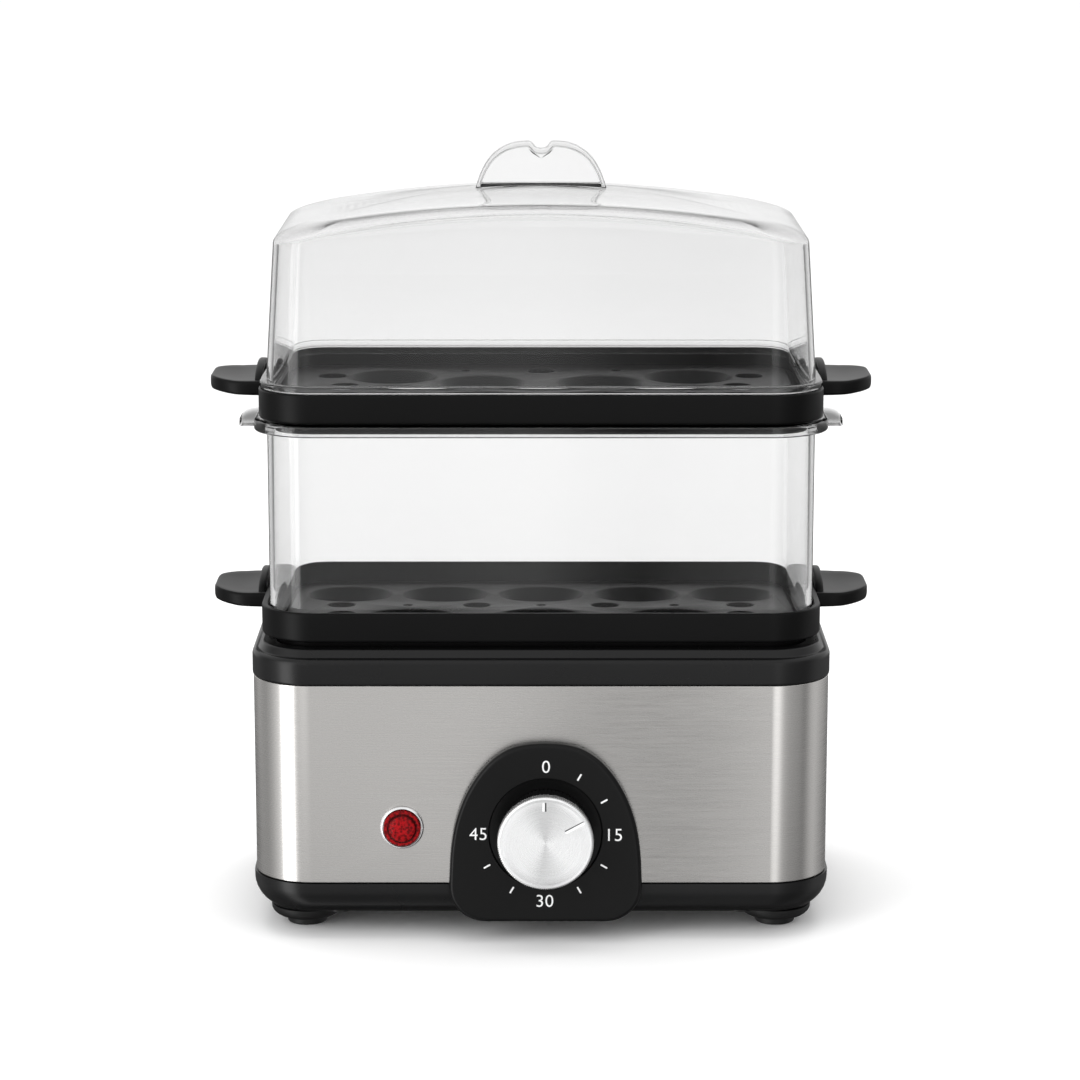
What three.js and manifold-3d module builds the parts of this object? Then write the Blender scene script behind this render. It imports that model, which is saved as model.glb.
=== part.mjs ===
// Two-tier electric steam boiler for eggs, built from its real pieces.
// Millimetres, +Z up, the front faces -Y. The origin is under the middle of the whole part.
import * as THREE from 'three';
import { mergeVertices } from 'three/addons/utils/BufferGeometryUtils.js';
import Module from 'manifold-3d';

const wasm = await Module();
wasm.setup();

// Clearances and fineness
const clear = 0.3;              // gap kept wherever two pieces meet
const overrun = 1;              // how far a cutter runs past the face it cuts
const weldSpan = 0.0001;        // vertices closer than this are one
const cornerSteps = 4;          // facets in each plan corner
const bowPoints = 5;            // points added along each straight side that follows a bow
const roundSides = 16;          // facets round a seat, a knob or a lens
const smallSides = 10;          // facets round a screw, a stud or a small hole
const wireSides = 6;
const elementSteps = 44;        // steps along the heater's tube
const elementSides = 8;

// Plan of the trays, which the clear pieces and the base follow
const trayHalfWidth = 108.1;
const trayHalfDepth = 63.4;
const trayCorner = 21.4;
const leastCorner = 15.5;       // plan corners never get tighter than this on the lid's crown

// Base: feet, pan, steel wrap and collar
const footHeight = 7.8;
const footTreadRadius = 7.8;
const footTreadHeight = 2.7;
const footFlangeRadius = 14;
const footEdge = 0.8;           // chamfer of the tread
const footPastPost = 14.1;      // foot's axis outside the screw post's, across
const footBeforePost = 14;      // and nearer to the middle, along
const footPegRadius = 3;
const footPegLength = 5;

const bodyStep = 3.9;           // collar stands this far outside the trays
const bodyHalfWidth = trayHalfWidth + bodyStep;
const bodyHalfDepth = trayHalfDepth + bodyStep;
const bodyCorner = 23.7;
const panRise = 14.1;
const panWall = 2.4;
const panFloor = 2.2;
const panRound = 12;            // rounding of the pan's lower edge
const panFlare = 0.4;           // how far the pan stands out past the collar's line
const lipRise = 5;              // lip of pan and collar that stands inside the wrap
const lipThickness = 2;

const wrapHeight = 78.3;
const wrapInset = 0.4;          // wrap lies this far inside the collar's line
const wrapThickness = 0.8;

const collarRise = 10.1;
const collarTurn = 1.3;         // rounding of the collar's upper edge
const ridgeRise = 3.1;
const ridgeInset = 2.6;
const ridgeLean = 1.6;          // how far the ridge leans in
const ledgeReach = 5;           // ledge that carries the heating plate
const ledgeThickness = 8.5;
const postSide = 34;            // screw post from the collar's line, at the sides
const postInset = 10.4;         // and at the front and back
const postRadius = 4.2;
const postBore = 1.9;

const screwRadius = 1.5;
const screwHeadRadius = 3.2;
const screwHeadHeight = 1.6;
const screwBite = 12;
const screwBossRadius = 5.2;
const screwBossRise = 4.4;      // top of the pan's screw bosses above its foot
const screwSink = 2.4;          // depth of the room for a screw's head
const screwSlack = 0.5;         // room round the head

// Heating plate and what hangs under it
const sealThickness = 1.2;
const sealWidth = 3.6;
const plateSheet = 1.2;
const plateFlange = 5.2;
const basinSlope = 7;
const basinDepth = 11.4;
const studRadius = 2;
const studLength = 20;
const studBeforePost = 14;      // stud's axis nearer to the middle than the post's
const nutRadius = 3.6;
const nutHeight = 3.2;
const nutBore = 2.4;
const nutSides = 6;
const clampHalfWidth = 6;
const clampSheet = 1.5;
const elementTube = 3.3;
const elementLoop = 36;         // radius of the loop's centre line
const elementGapShare = 0.09;   // share of the turn left open at the back
const elementDrop = 13;
const thermostatRadius = 8;
const thermostatHeight = 7;
const thermostatBladeHeight = 5;
const thermostatBladeWidth = 4.8;
const thermostatBladeThickness = 0.8;
const bracketHalfLength = 22;
const bracketHalfWidth = 5;
const bracketSheet = 1;
const fuseRadius = 2.2;
const fuseHalfLength = 11;
const fuseOffset = 17;          // fuse axis in front of the thermostat's
const shieldPastStud = 6;
const shieldHalfDepth = 47;
const shieldSheet = 1;
const shieldLip = 6;
const shieldDrop = 14;          // shield below the plate's underside
const shieldWindowHalf = 24;    // opening for the leads

// Trays
const skirtDrop = 3.9;
const skirtInset = 5.7;
const skirtThickness = 2;
const trayWallHeight = 11.6;
const trayRim = 2.4;
const channelWidth = 3.5;
const channelRise = 3.6;        // channel floor above the foot of the outer wall
const floorRise = 1;            // floor above the channel
const floorSheet = 2;
const seatHole = 12.6;
const seatMouth = 17.6;
const seatDepth = 5.4;
const seatWall = 1.5;
const steamHole = 5.6;
const tinyHole = 1.9;
const handleReach = 21.6;       // handle past the tray's wall
const handleHalfDepth = 22;
const handleCorner = 7;
const handleRoot = 5.8;         // thickness at the wall
const handleTip = 5.2;
const handleTopDrop = 1.2;      // handle's root below the rim
const handleLift = 0.8;         // how far its tip rises again
const finThickness = 3.4;
const finHalfLength = 21;
const finRise = 4.4;
const finFoot = 5;

// Seats and steam holes as shares of the floor's half sizes, by tray
const lowerSeatShares = [[-0.76, 0.46], [-0.38, 0.46], [0, 0.46], [0.38, 0.46], [0.76, 0.46],
  [-0.5, -0.44], [0, -0.44], [0.5, -0.44]];
const lowerSteamShares = [[-0.78, 0.02], [0.78, 0.02], [-0.77, -0.34], [0.77, -0.34],
  [-0.25, 0.01], [0.25, 0.01]];
const lowerTinyShares = [[-0.52, 0.01], [0.52, 0.01], [0, 0.01], [-0.25, -0.62], [0.25, -0.62]];
const upperSeatShares = [[-0.58, 0.46], [0.58, 0.46], [-0.23, 0.2], [0.23, 0.2],
  [-0.47, -0.56], [0, -0.6], [0.47, -0.56]];
const upperSteamShares = [[-0.82, 0.5], [0.82, 0.5], [-0.76, 0.08], [0.76, 0.08], [-0.76, -0.36],
  [0.76, -0.36], [0, 0.72]];
const upperTinyShares = [[-0.58, 0.02], [0.58, 0.02], [-0.3, 0.74], [0.3, 0.74],
  [-0.24, -0.34], [0.24, -0.34]];

// Clear chamber
const clearWall = 2.2;
const clearInset = 3.1;         // clear walls lie this far inside the tray's outline
const chamberHeight = 80.1;
const chamberFlangeOut = 1.9;   // flange past the tray's outline
const chamberFlange = 4.2;
const earReach = 6;
const earFront = 38;            // ear's front face before the middle
const earLength = 27;
const earThickness = 3.2;
const earRoundAcross = 6;       // rounding of its back corner
const earRoundAlong = 15;
const earDrop = 0.9;            // ear's top below the flange's

// Lid
const lidFlangeInset = 0.5;
const lidFlange = 2.6;
const lidSkirt = 3;
const lidWallHeight = 53.7;     // flange foot to the start of the shoulder
const lidDraft = 3.2;           // how much the wall leans in over that height
const shoulderRound = 18.5;     // how far the shoulder draws in
const shoulderRise = 15.8;
const crownRise = 3.2;
const crownBow = 11.5;          // how far the crown falls from the middle to the ends
const gripHalfWidth = 25.7;
const gripHeight = 17.1;
const gripSink = 1.7;           // its foot below the top of the crown
const gripThickness = 5;
const gripWeb = 2.6;
const gripRim = 2.2;
const gripNotch = 3.9;          // half width of the notch in its top
const gripNotchDepth = 2.7;
const shoulderShares = [[0.02, 0.44], [0.11, 0.72], [0.28, 0.89], [0.51, 0.97], [1, 1]];
const crownShares = [0.82, 0.62, 0.42, 0.21, 0];
const gripShares = [[1, 0], [0.93, 0.3], [0.84, 0.55], [0.73, 0.74], [0.58, 0.89], [0.41, 0.98], [0.25, 1]];

// Control panel, knob and lamp
const dialAcross = 1.7;         // panel, knob and timer stand this far right of the middle
const panelHalfWidth = 37.2;
const panelTop = 79.3;
const panelBottom = 8.3;
const panelWaist = 23.5;        // height where the side is widest
const panelFoot = 14;           // radius of the lower corners
const panelThickness = 4.4;
const panelBevel = 1.1;
const bevelSteps = 3;
const archShares = [[1, 0], [0.985, 0.24], [0.935, 0.44], [0.84, 0.62], [0.71, 0.77],
  [0.56, 0.885], [0.38, 0.965],
  [0.19, 0.995], [0, 1]];
const knobWell = 21.8;
const knobWellDepth = 1.4;
const knobCapRadius = 18.4;
const knobCapThickness = 4.8;
const knobCapRim = 1.1;
const knobCapDish = 0.7;
const knobBodyRadius = 17.6;
const knobBodyDepth = 9.4;
const knobHub = 5.6;
const knobWall = 1.4;
const knobRibs = 40;
const knobRibDepth = 0.45;
const lampPlaceShare = 0.4;     // lamp between the panel's side and the screw post
const lampHeight = 44.9;
const lampFlangeRadius = 7.2;
const lampFlange = 1.8;
const lampDome = 5.3;
const lampDomeRise = 2.2;
const lampDomeShares = [[0, 1], [0.6, 0.78], [1, 0]];
const lampBarrel = 5.2;
const lampBarrelLength = 13;
const lampWall = 1.2;
const bezelWidth = 0.9;
const bezelDepth = 1.2;
const lampHoleSlack = 0.5;
const clipWidth = 2.4;
const clipThickness = 1;
const neonRadius = 2.4;
const neonLength = 9;
const neonTip = 1.7;            // radius of the neon's blunt tip

// Clockwork timer behind the panel
const timerHalf = 21.3;
const timerPlateSheet = 1.2;
const timerDepth = 23;
const timerWall = 1.4;
const shaftRadius = 3;
const shaftPilot = 1.5;         // thin end that turns in the case's back
const shaftHole = 0.5;          // slack of the holes it passes
const bushingRadius = 6;
const wheelTeeth = 40;
const pinionTeeth = 10;
const toothModule = 0.8;
const toothTipShare = 0.62;     // tooth height above its pitch line, in modules
const toothRootShare = 1.25;
const toothWidthShare = 0.3;    // tooth at the pitch line, in pitches
const toothCrestShare = 0.55;   // crest against the width at the pitch line
const toothFootShare = 1.6;     // foot against the same width
const wheelThickness = 2;
const pinionThickness = 3;
const arborRadius = 1;
const pinionBearing = 135;      // degrees round the shaft from +X
const camRadius = 10;
const camThickness = 3;
const camNotch = 1.6;
const camNotchHalf = 2.2;
const camOffset = 5;            // cam behind the front plate
const wheelOffset = 13;
const blockWidth = 9;
const blockHeight = 6;
const blockDepth = 9;
const leafThickness = 0.5;
const leafWidth = 4;
const leafSpacing = 2.6;
const leafReach = 17;
const leafTab = 5;              // leaf past the case's side wall
const timerScrewAcross = 14;
const timerScrewRadius = 1.4;
const timerScrewProud = 0.7;    // its end past the well's floor

// Cord entry and wiring
const glandAcross = 46;
const glandHeight = 35.5;
const glandFlangeRadius = 8.4;
const glandFlange = 3.4;
const glandNeck = 5.8;
const glandBore = 3.4;
const glandChamfer = 1.1;
const glandTail = 9;
const glandNutRadius = 8;
const glandNutThickness = 3;
const terminalWidth = 26;
const terminalDepth = 12;
const terminalHeight = 11;
const terminalPort = 2;
const terminalPitch = 7.6;
const terminalAcross = 46;
const terminalAlong = 34;
const terminalFootHeight = 4;
const wireRadius = 1;
const wireSteps = 14;
const wireGap = 0.7;            // between a wire's end and its terminal
const wirePitch = 2.6;          // spacing of two wires on one tab
const wireBend = 7;             // room a wire takes to turn

// Colours
const looks = {
  black: { color: 0x161616, roughness: 0.42, metalness: 0 },
  panel: { color: 0x0e0e0f, roughness: 0.3, metalness: 0 },
  clear: { color: 0xeff1f2, roughness: 0.04, metalness: 0, transparent: true, opacity: 0.3 },
  steel: { color: 0xbebbb7, roughness: 0.34, metalness: 1 },
  spun: { color: 0xd6d7d8, roughness: 0.26, metalness: 1 },
  plated: { color: 0xa9abad, roughness: 0.4, metalness: 1 },
  coated: { color: 0x4a4b4c, roughness: 0.38, metalness: 0.6 },
  brass: { color: 0xb6924c, roughness: 0.35, metalness: 1 },
  rubber: { color: 0x1d1d1d, roughness: 0.8, metalness: 0 },
  silicone: { color: 0x8c8f90, roughness: 0.7, metalness: 0 },
  red: { color: 0xb50f12, roughness: 0.12, metalness: 0 },
  ivory: { color: 0xe6e1d2, roughness: 0.5, metalness: 0 },
  nylon: { color: 0xd9d7cf, roughness: 0.55, metalness: 0 },
  brown: { color: 0x6b3f22, roughness: 0.5, metalness: 0 },
  blue: { color: 0x27508f, roughness: 0.5, metalness: 0 },
  bulb: { color: 0xf4b08a, roughness: 0.1, metalness: 0 },
};

// Plans that follow from the sizes
const trayPlan = { halfWidth: trayHalfWidth, halfDepth: trayHalfDepth, corner: trayCorner };
const lidPlan = { ...trayPlan, least: leastCorner, sidePoints: bowPoints };
const bodyPlan = { halfWidth: bodyHalfWidth, halfDepth: bodyHalfDepth, corner: bodyCorner };

// Heights that follow from the sizes, from the floor up
const panFoot = footHeight + clear;
const panTop = panFoot + panRise;
const wrapFoot = panTop + clear;
const wrapTop = wrapFoot + wrapHeight;
const collarFoot = wrapTop + clear;
const collarTop = collarFoot + collarRise;
const ridgeTop = collarTop + ridgeRise;
const ledgeTop = collarFoot + ledgeThickness;
const sealTop = ledgeTop + clear + sealThickness;
const plateTop = sealTop + clear + plateSheet;
const basinTop = plateTop - basinDepth;
const plateUnder = basinTop - plateSheet;
const lowerTrayFoot = plateTop + clear + skirtDrop;
const chamberFoot = lowerTrayFoot + channelRise + clear;
const chamberTop = chamberFoot + chamberHeight;
const upperTrayFoot = chamberTop + clear;
const lidFoot = upperTrayFoot + trayWallHeight + clear;
const crownFoot = lidFoot + lidWallHeight + shoulderRise;
const crownTop = crownFoot + crownRise;
const shieldTop = plateUnder - shieldDrop;
const dialHeight = panTop + clear + timerHalf;

// Distances in plan that follow from the sizes
const skirtLine = bodyStep + skirtInset;
const collarInner = skirtLine - clear;
const plateEdge = collarInner + clear;
const lipInset = wrapInset + wrapThickness + clear;
const postAcross = bodyHalfWidth - postSide;
const postAlong = bodyHalfDepth - postInset;
const footAcross = postAcross + footPastPost;
const footAlong = postAlong - footBeforePost;
const studAcross = postAcross - studBeforePost;
const shieldHalfWidth = studAcross + shieldPastStud;
const lampAcross = -(panelHalfWidth + lampPlaceShare * (postAcross - panelHalfWidth));
const wrapFace = bodyHalfDepth - wrapInset;
const panelBack = -(bodyHalfDepth + panFlare + clear);
const panelFace = panelBack - panelThickness;
const wellFace = panelFace + knobWellDepth;
const knobBack = wellFace - clear;
const knobFront = knobBack - knobBodyDepth;
const capFront = knobFront - clear - knobCapThickness;
const timerFront = -(wrapFace - wrapThickness - clear);
const caseFront = timerFront + timerPlateSheet + clear;
const caseBack = caseFront + timerDepth;
const glandFace = wrapFace + clear;
const gearReach = (wheelTeeth + pinionTeeth) * toothModule / 2;
const pinionAcross = gearReach * Math.cos(THREE.MathUtils.degToRad(pinionBearing));
const pinionHeight = dialHeight + gearReach * Math.sin(THREE.MathUtils.degToRad(pinionBearing));

const model = new THREE.Group();

// Geometry helpers

// Joins shared vertices, drops collapsed triangles and turns the faces outward.
function welded(source) {
  const flat = source.clone();
  flat.deleteAttribute('normal');
  flat.deleteAttribute('uv');
  const merged = mergeVertices(flat, weldSpan);
  const place = merged.attributes.position;
  const index = merged.index.array;
  const kept = [];
  const [a, b, c] = [new THREE.Vector3(), new THREE.Vector3(), new THREE.Vector3()];
  let volume = 0;
  for (let i = 0; i < index.length; i += 3) {
    const [p, q, r] = [index[i], index[i + 1], index[i + 2]];
    if (p !== q && q !== r && r !== p) {
      kept.push([p, q, r]);
      volume += a.fromBufferAttribute(place, p).dot(
        b.fromBufferAttribute(place, q).cross(c.fromBufferAttribute(place, r)));
    }
  }
  merged.setIndex(kept.flatMap(([p, q, r]) => (volume < 0 ? [p, r, q] : [p, q, r])));
  return merged;
}

function solid(source) {
  const geometry = welded(source);
  return new wasm.Manifold(new wasm.Mesh({
    numProp: 3,
    vertProperties: new Float32Array(geometry.attributes.position.array),
    triVerts: new Uint32Array(geometry.index.array),
  }));
}

function add(name, look, shape) {
  const { vertProperties, triVerts } = shape.getMesh();
  const geometry = new THREE.BufferGeometry();
  geometry.setAttribute('position', new THREE.BufferAttribute(new Float32Array(vertProperties), 3));
  geometry.setIndex(new THREE.BufferAttribute(new Uint32Array(triVerts), 1));
  geometry.computeVertexNormals();
  const mesh = new THREE.Mesh(geometry, new THREE.MeshStandardMaterial(looks[look]));
  mesh.name = name;
  model.add(mesh);
}

const joined = (parts) => parts.reduce((whole, part) => whole.add(part));
const cutBy = (whole, cutters) => cutters.reduce((rest, cutter) => rest.subtract(cutter), whole);

// How many points of an outline belong to one corner and the straight side after it
const cornerPoints = (plan) => cornerSteps + 1 + (plan.sidePoints ?? 0);

// Point number column on a rounded rectangle drawn in by inset. On a plan with a least corner,
// the corners grow as the share falls, so that a crown comes out smooth.
function onOutline(plan, inset, column, share) {
  const corner = Math.floor(column / cornerPoints(plan));
  const step = column % cornerPoints(plan);
  if (step <= cornerSteps) return onCorner(plan, inset, corner, step, share);
  const along = (step - cornerSteps) / (plan.sidePoints + 1);
  const [fromX, fromY] = onCorner(plan, inset, corner, cornerSteps, share);
  const [toX, toY] = onCorner(plan, inset, (corner + 1) % 4, 0, share);
  return [fromX + along * (toX - fromX), fromY + along * (toY - fromY)];
}

function onCorner(plan, inset, corner, step, share) {
  const halfWidth = plan.halfWidth - inset;
  const halfDepth = plan.halfDepth - inset;
  const least = plan.least ? plan.least + (1 - share) * halfDepth : 0;
  const radius = Math.min(Math.max(plan.corner - inset, least), halfDepth);
  const turn = (corner + step / cornerSteps) * Math.PI / 2;
  const sideX = corner === 0 || corner === 3 ? 1 : -1;
  const sideY = corner < 2 ? 1 : -1;
  return [sideX * (halfWidth - radius) + radius * Math.cos(turn),
    sideY * (halfDepth - radius) + radius * Math.sin(turn)];
}

// A lathe pushed out to a rounded rectangle. Profile points are [inset, height, share, bow]; share 0 is
// the axis, and bow is how far the point lies lower at the plan's two ends than in the middle.
function wrapped(plan, profile) {
  const columns = 4 * cornerPoints(plan);
  const geometry = new THREE.LatheGeometry(profile.map((p) => new THREE.Vector2(1, p[1])), columns);
  const place = geometry.attributes.position;
  for (let v = 0; v < place.count; v += 1) {
    const [inset, height, share = 1, bow = 0] = profile[v % profile.length];
    const [x, y] = onOutline(plan, inset, Math.floor(v / profile.length) % columns, share);
    place.setXYZ(v, x * share, y * share, height - bow * (x * share / plan.halfWidth) ** 2);
  }
  return solid(geometry);
}

// A band that closes on itself.
const band = (plan, profile) => wrapped(plan, [...profile, profile[0]]);

// A plain block of the plan between two insets and two heights.
const frameOf = (plan, outer, inner, low, high) =>
  band(plan, [[outer, low], [inner, low], [inner, high], [outer, high]]);

function box(x0, x1, y0, y1, z0, z1) {
  const geometry = new THREE.BoxGeometry(Math.abs(x1 - x0), Math.abs(y1 - y0), Math.abs(z1 - z0));
  geometry.translate((x0 + x1) / 2, (y0 + y1) / 2, (z0 + z1) / 2);
  return solid(geometry);
}

// A turned solid with its axis along Z, from [radius, height] points.
function spun(profile, x, y, sides = roundSides) {
  const geometry = new THREE.LatheGeometry(profile.map(([r, z]) => new THREE.Vector2(r, z)), sides);
  geometry.rotateX(Math.PI / 2);
  geometry.translate(x, y, 0);
  return solid(geometry);
}

// A turned solid with its axis along Y, from [radius, y] points.
function turned(profile, x, z, sides = roundSides) {
  const geometry = new THREE.LatheGeometry(profile.map(([r, y]) => new THREE.Vector2(r, y)), sides);
  geometry.translate(x, 0, z);
  return solid(geometry);
}

const drum = (radius, low, high, x, y, sides = smallSides) =>
  spun([[0, low], [radius, low], [radius, high], [0, high]], x, y, sides);
const pin = (radius, front, back, x, z, sides = smallSides) =>
  turned([[0, front], [radius, front], [radius, back], [0, back]], x, z, sides);

const shapeOf = (points) => new THREE.Shape(points.map(([a, b]) => new THREE.Vector2(a, b)));

// An outline in X and Z, drawn out towards -Y from the plane at back.
function standing(points, back, depth) {
  const geometry = new THREE.ExtrudeGeometry(shapeOf(points), { depth, bevelEnabled: false, steps: 1 });
  geometry.rotateX(Math.PI / 2);
  geometry.translate(0, back, 0);
  return solid(geometry);
}

// An outline in X and Y, drawn up from the height low.
function lying(points, low, depth) {
  const geometry = new THREE.ExtrudeGeometry(shapeOf(points), { depth, bevelEnabled: false, steps: 1 });
  geometry.translate(0, 0, low);
  return solid(geometry);
}

// A tube along a smooth line through the points.
function tube(points, radius, steps, sides = wireSides) {
  const ring = [];
  for (let i = 0; i < sides; i += 1) {
    const turn = (i / sides) * 2 * Math.PI;
    ring.push([radius * Math.cos(turn), radius * Math.sin(turn)]);
  }
  const path = new THREE.CatmullRomCurve3(points.map((p) => new THREE.Vector3(...p)));
  return solid(new THREE.ExtrudeGeometry(shapeOf(ring),
    { steps, extrudePath: path, bevelEnabled: false }));
}

// Points of a quarter ellipse; from counts quarter turns.
function quarter(cx, cy, rx, ry, from, steps = cornerSteps) {
  const points = [];
  for (let i = 0; i <= steps; i += 1) {
    const turn = (from + i / steps) * Math.PI / 2;
    points.push([cx + rx * Math.cos(turn), cy + ry * Math.sin(turn)]);
  }
  return points;
}

const mirroredX = (points) =>
  [...points, ...points.map(([x, y]) => [-x, y]).reverse().filter(([x]) => x !== 0)];
const corners = [[-1, -1, 'front_left'], [1, -1, 'front_right'],
  [-1, 1, 'back_left'], [1, 1, 'back_right']];

// Lid: flange, drafted wall, soft shoulder and barrel-arched crown, with a half-moon grip
function lid() {
  const wall = (inset, drop) => {
    const line = clearInset + inset;
    return [[line, lidFoot + lidFlange], [line + lidDraft, lidFoot + lidWallHeight],
      ...shoulderShares.map(([inShare, upShare]) =>
        [line + lidDraft + inShare * shoulderRound,
          lidFoot + lidWallHeight + upShare * shoulderRise - drop, 1, upShare * crownBow]),
      ...crownShares.map((share) => [line + lidDraft + shoulderRound,
        crownFoot + crownRise * (1 - share * share) - drop, share, crownBow])];
  };
  const outer = wall(0, 0);
  const inner = wall(clearWall, clearWall).reverse();
  const foot = lidFoot - lidSkirt;
  return joined([
    wrapped(lidPlan, [...inner, [clearInset + clearWall, foot], [clearInset, foot], [clearInset, lidFoot],
      [lidFlangeInset, lidFoot], [lidFlangeInset, lidFoot + lidFlange], ...outer]),
    grip(),
  ]);
}

function grip() {
  const outline = (halfWidth, height, foot) => {
    const right = gripShares.map(([x, z]) => [x * halfWidth, foot + z * height]);
    return mirroredX(right);
  };
  const foot = crownTop - gripSink;
  const height = gripHeight + gripSink;
  const body = standing(outline(gripHalfWidth, height, foot), gripThickness / 2, gripThickness);
  const pocket = outline(gripHalfWidth - gripRim, height - 2 * gripRim, foot + gripRim);
  const depth = (gripThickness - gripWeb) / 2;
  const notch = standing([[-gripNotch, foot + height + overrun], [0, foot + height - gripNotchDepth],
    [gripNotch, foot + height + overrun]], gripThickness, 2 * gripThickness);
  return cutBy(body, [
    standing(pocket, gripThickness / 2 + overrun, depth + overrun),
    standing(pocket, -gripThickness / 2 + depth, depth + overrun),
    notch,
  ]);
}

// Clear chamber: plain wall, flange at the top and an ear at each end
function chamber() {
  const line = clearInset;
  const flangeFoot = chamberTop - chamberFlange;
  const shell = band(trayPlan, [[line + clearWall, chamberFoot], [line, chamberFoot], [line, flangeFoot],
    [-chamberFlangeOut, flangeFoot], [-chamberFlangeOut, chamberTop], [line + clearWall, chamberTop]]);
  const tip = trayHalfWidth + chamberFlangeOut + earReach;
  const root = trayHalfWidth;
  const back = earLength - earFront;
  const ear = (side) => lying([[root, -earFront], [tip, -earFront],
    ...quarter(tip - earRoundAcross, back - earRoundAlong, earRoundAcross, earRoundAlong, 0),
    [root, back]].map(([x, y]) => [side * x, y]), chamberTop - earDrop - earThickness, earThickness);
  return joined([shell, ear(1), ear(-1)]);
}

// Tray: outer wall, channel for the clear piece above, raised floor with seats, skirt, handles and fins
function tray(foot, seatShares, steamShares, tinyShares) {
  const rimTop = foot + trayWallHeight;
  const channel = foot + channelRise;
  const floor = channel + floorRise;
  const floorEdge = trayRim + channelWidth;
  const under = floor - floorSheet;
  const skirtFoot = foot - skirtDrop;
  const shell = wrapped(trayPlan, [[floorEdge, floor, 0], [floorEdge + floorRise, floor],
    [floorEdge, channel], [trayRim, channel], [trayRim, rimTop], [0, rimTop], [0, foot], [skirtInset, foot],
    [skirtInset, skirtFoot], [skirtInset + skirtThickness, skirtFoot], [skirtInset + skirtThickness, under],
    [skirtInset, under, 0]]);
  const halfWidth = trayHalfWidth - floorEdge;
  const halfDepth = trayHalfDepth - floorEdge;
  const at = ([x, y]) => [x * halfWidth, y * halfDepth];
  const low = floor - seatDepth;
  const cups = seatShares.map(at).map(([x, y]) => spun([[0, low], [seatHole + seatWall, low],
    [seatMouth + seatWall, floor - floorSheet / 2], [0, floor - floorSheet / 2]], x, y));
  const wells = seatShares.map(at).map(([x, y]) => spun([[0, low - overrun], [seatHole, low - overrun],
    [seatHole, low], [seatMouth, floor], [seatMouth, floor + overrun], [0, floor + overrun]], x, y));
  const holes = [[steamHole, steamShares], [tinyHole, tinyShares]].flatMap(([radius, shares]) =>
    shares.map(at).map(([x, y]) => drum(radius, under - overrun, floor + overrun, x, y)));
  const sides = [1, -1].flatMap((side) => [handle(side, rimTop), fin(side, rimTop)]);
  return cutBy(joined([shell, ...cups, ...sides]), [...wells, ...holes]);
}

// Flat handle: its plan crossed with its side view, which dips and rises again to the tip
function handle(side, rimTop) {
  const root = trayHalfWidth - trayRim / 2;
  const tip = trayHalfWidth + handleReach;
  const top = rimTop - handleTopDrop;
  const plan = [[root, -handleHalfDepth],
    ...quarter(tip - handleCorner, -handleHalfDepth + handleCorner, handleCorner, handleCorner, -1),
    ...quarter(tip - handleCorner, handleHalfDepth - handleCorner, handleCorner, handleCorner, 0),
    [root, handleHalfDepth]];
  const waist = trayHalfWidth + handleReach / 2;
  const view = [[root, top], [waist, top], [tip, top + handleLift], [tip, top + handleLift - handleTip],
    [waist, top - (handleRoot + handleTip) / 2], [root, top - handleRoot]];
  const flat = lying(plan.map(([x, y]) => [side * x, y]), top - 2 * handleRoot, 4 * handleRoot);
  return flat.intersect(standing(view.map(([x, z]) => [side * x, z]), 2 * handleHalfDepth,
    4 * handleHalfDepth));
}

// Low rounded fin at the root of the handle
function fin(side, rimTop) {
  const arc = quarter(0, rimTop - finFoot, finHalfLength, finFoot + finRise, 0);
  const points = [...arc, ...arc.map(([y, z]) => [-y, z]).reverse().slice(1)];
  const geometry = new THREE.ExtrudeGeometry(shapeOf(points),
    { depth: finThickness, bevelEnabled: false, steps: 1 });
  geometry.rotateX(Math.PI / 2);
  geometry.rotateZ(Math.PI / 2);
  geometry.translate(side > 0 ? trayHalfWidth - weldSpan : -trayHalfWidth + weldSpan - finThickness, 0, 0);
  return solid(geometry);
}

// Collar: top ring of the base, with its ridge, the plate's ledge and four screw posts
function collar() {
  const turnFoot = collarTop - collarTurn;
  const ring = band(bodyPlan, [[0, collarFoot], [0, turnFoot], [collarTurn, collarTop],
    [ridgeInset, collarTop],
    [ridgeInset + ridgeLean, ridgeTop], [collarInner, ridgeTop], [collarInner, ledgeTop],
    [collarInner + ledgeReach, ledgeTop], [collarInner + ledgeReach, collarFoot],
    [lipInset + lipThickness, collarFoot], [lipInset + lipThickness, collarFoot - lipRise],
    [lipInset, collarFoot - lipRise], [lipInset, collarFoot]]);
  const postFoot = panFoot + screwBossRise + clear;
  const posts = corners.map(([sx, sy]) =>
    drum(postRadius, postFoot, collarFoot + ledgeThickness / 2, sx * postAcross, sy * postAlong));
  const bores = corners.map(([sx, sy]) =>
    drum(postBore, postFoot - overrun, postFoot + screwBite + overrun, sx * postAcross, sy * postAlong));
  return cutBy(joined([ring, ...posts]), bores);
}

// Pressed heating plate: flange on the seal, sloped basin, two studs below
function heatingPlate() {
  const bend = plateEdge + plateFlange;
  const dish = wrapped(bodyPlan, [[plateEdge, basinTop, 0], [bend + basinSlope, basinTop], [bend, plateTop],
    [plateEdge, plateTop], [plateEdge, plateTop - plateSheet],
    [bend - plateSheet / 2, plateTop - plateSheet],
    [bend + basinSlope - plateSheet / 2, plateUnder], [plateEdge, plateUnder, 0]]);
  return joined([dish, ...[-1, 1].map((side) =>
    drum(studRadius, plateUnder - studLength, plateUnder + plateSheet / 2, side * studAcross, 0))]);
}

const plateSeal = () =>
  frameOf(bodyPlan, plateEdge, plateEdge + sealWidth, ledgeTop + clear, sealTop);

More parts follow.
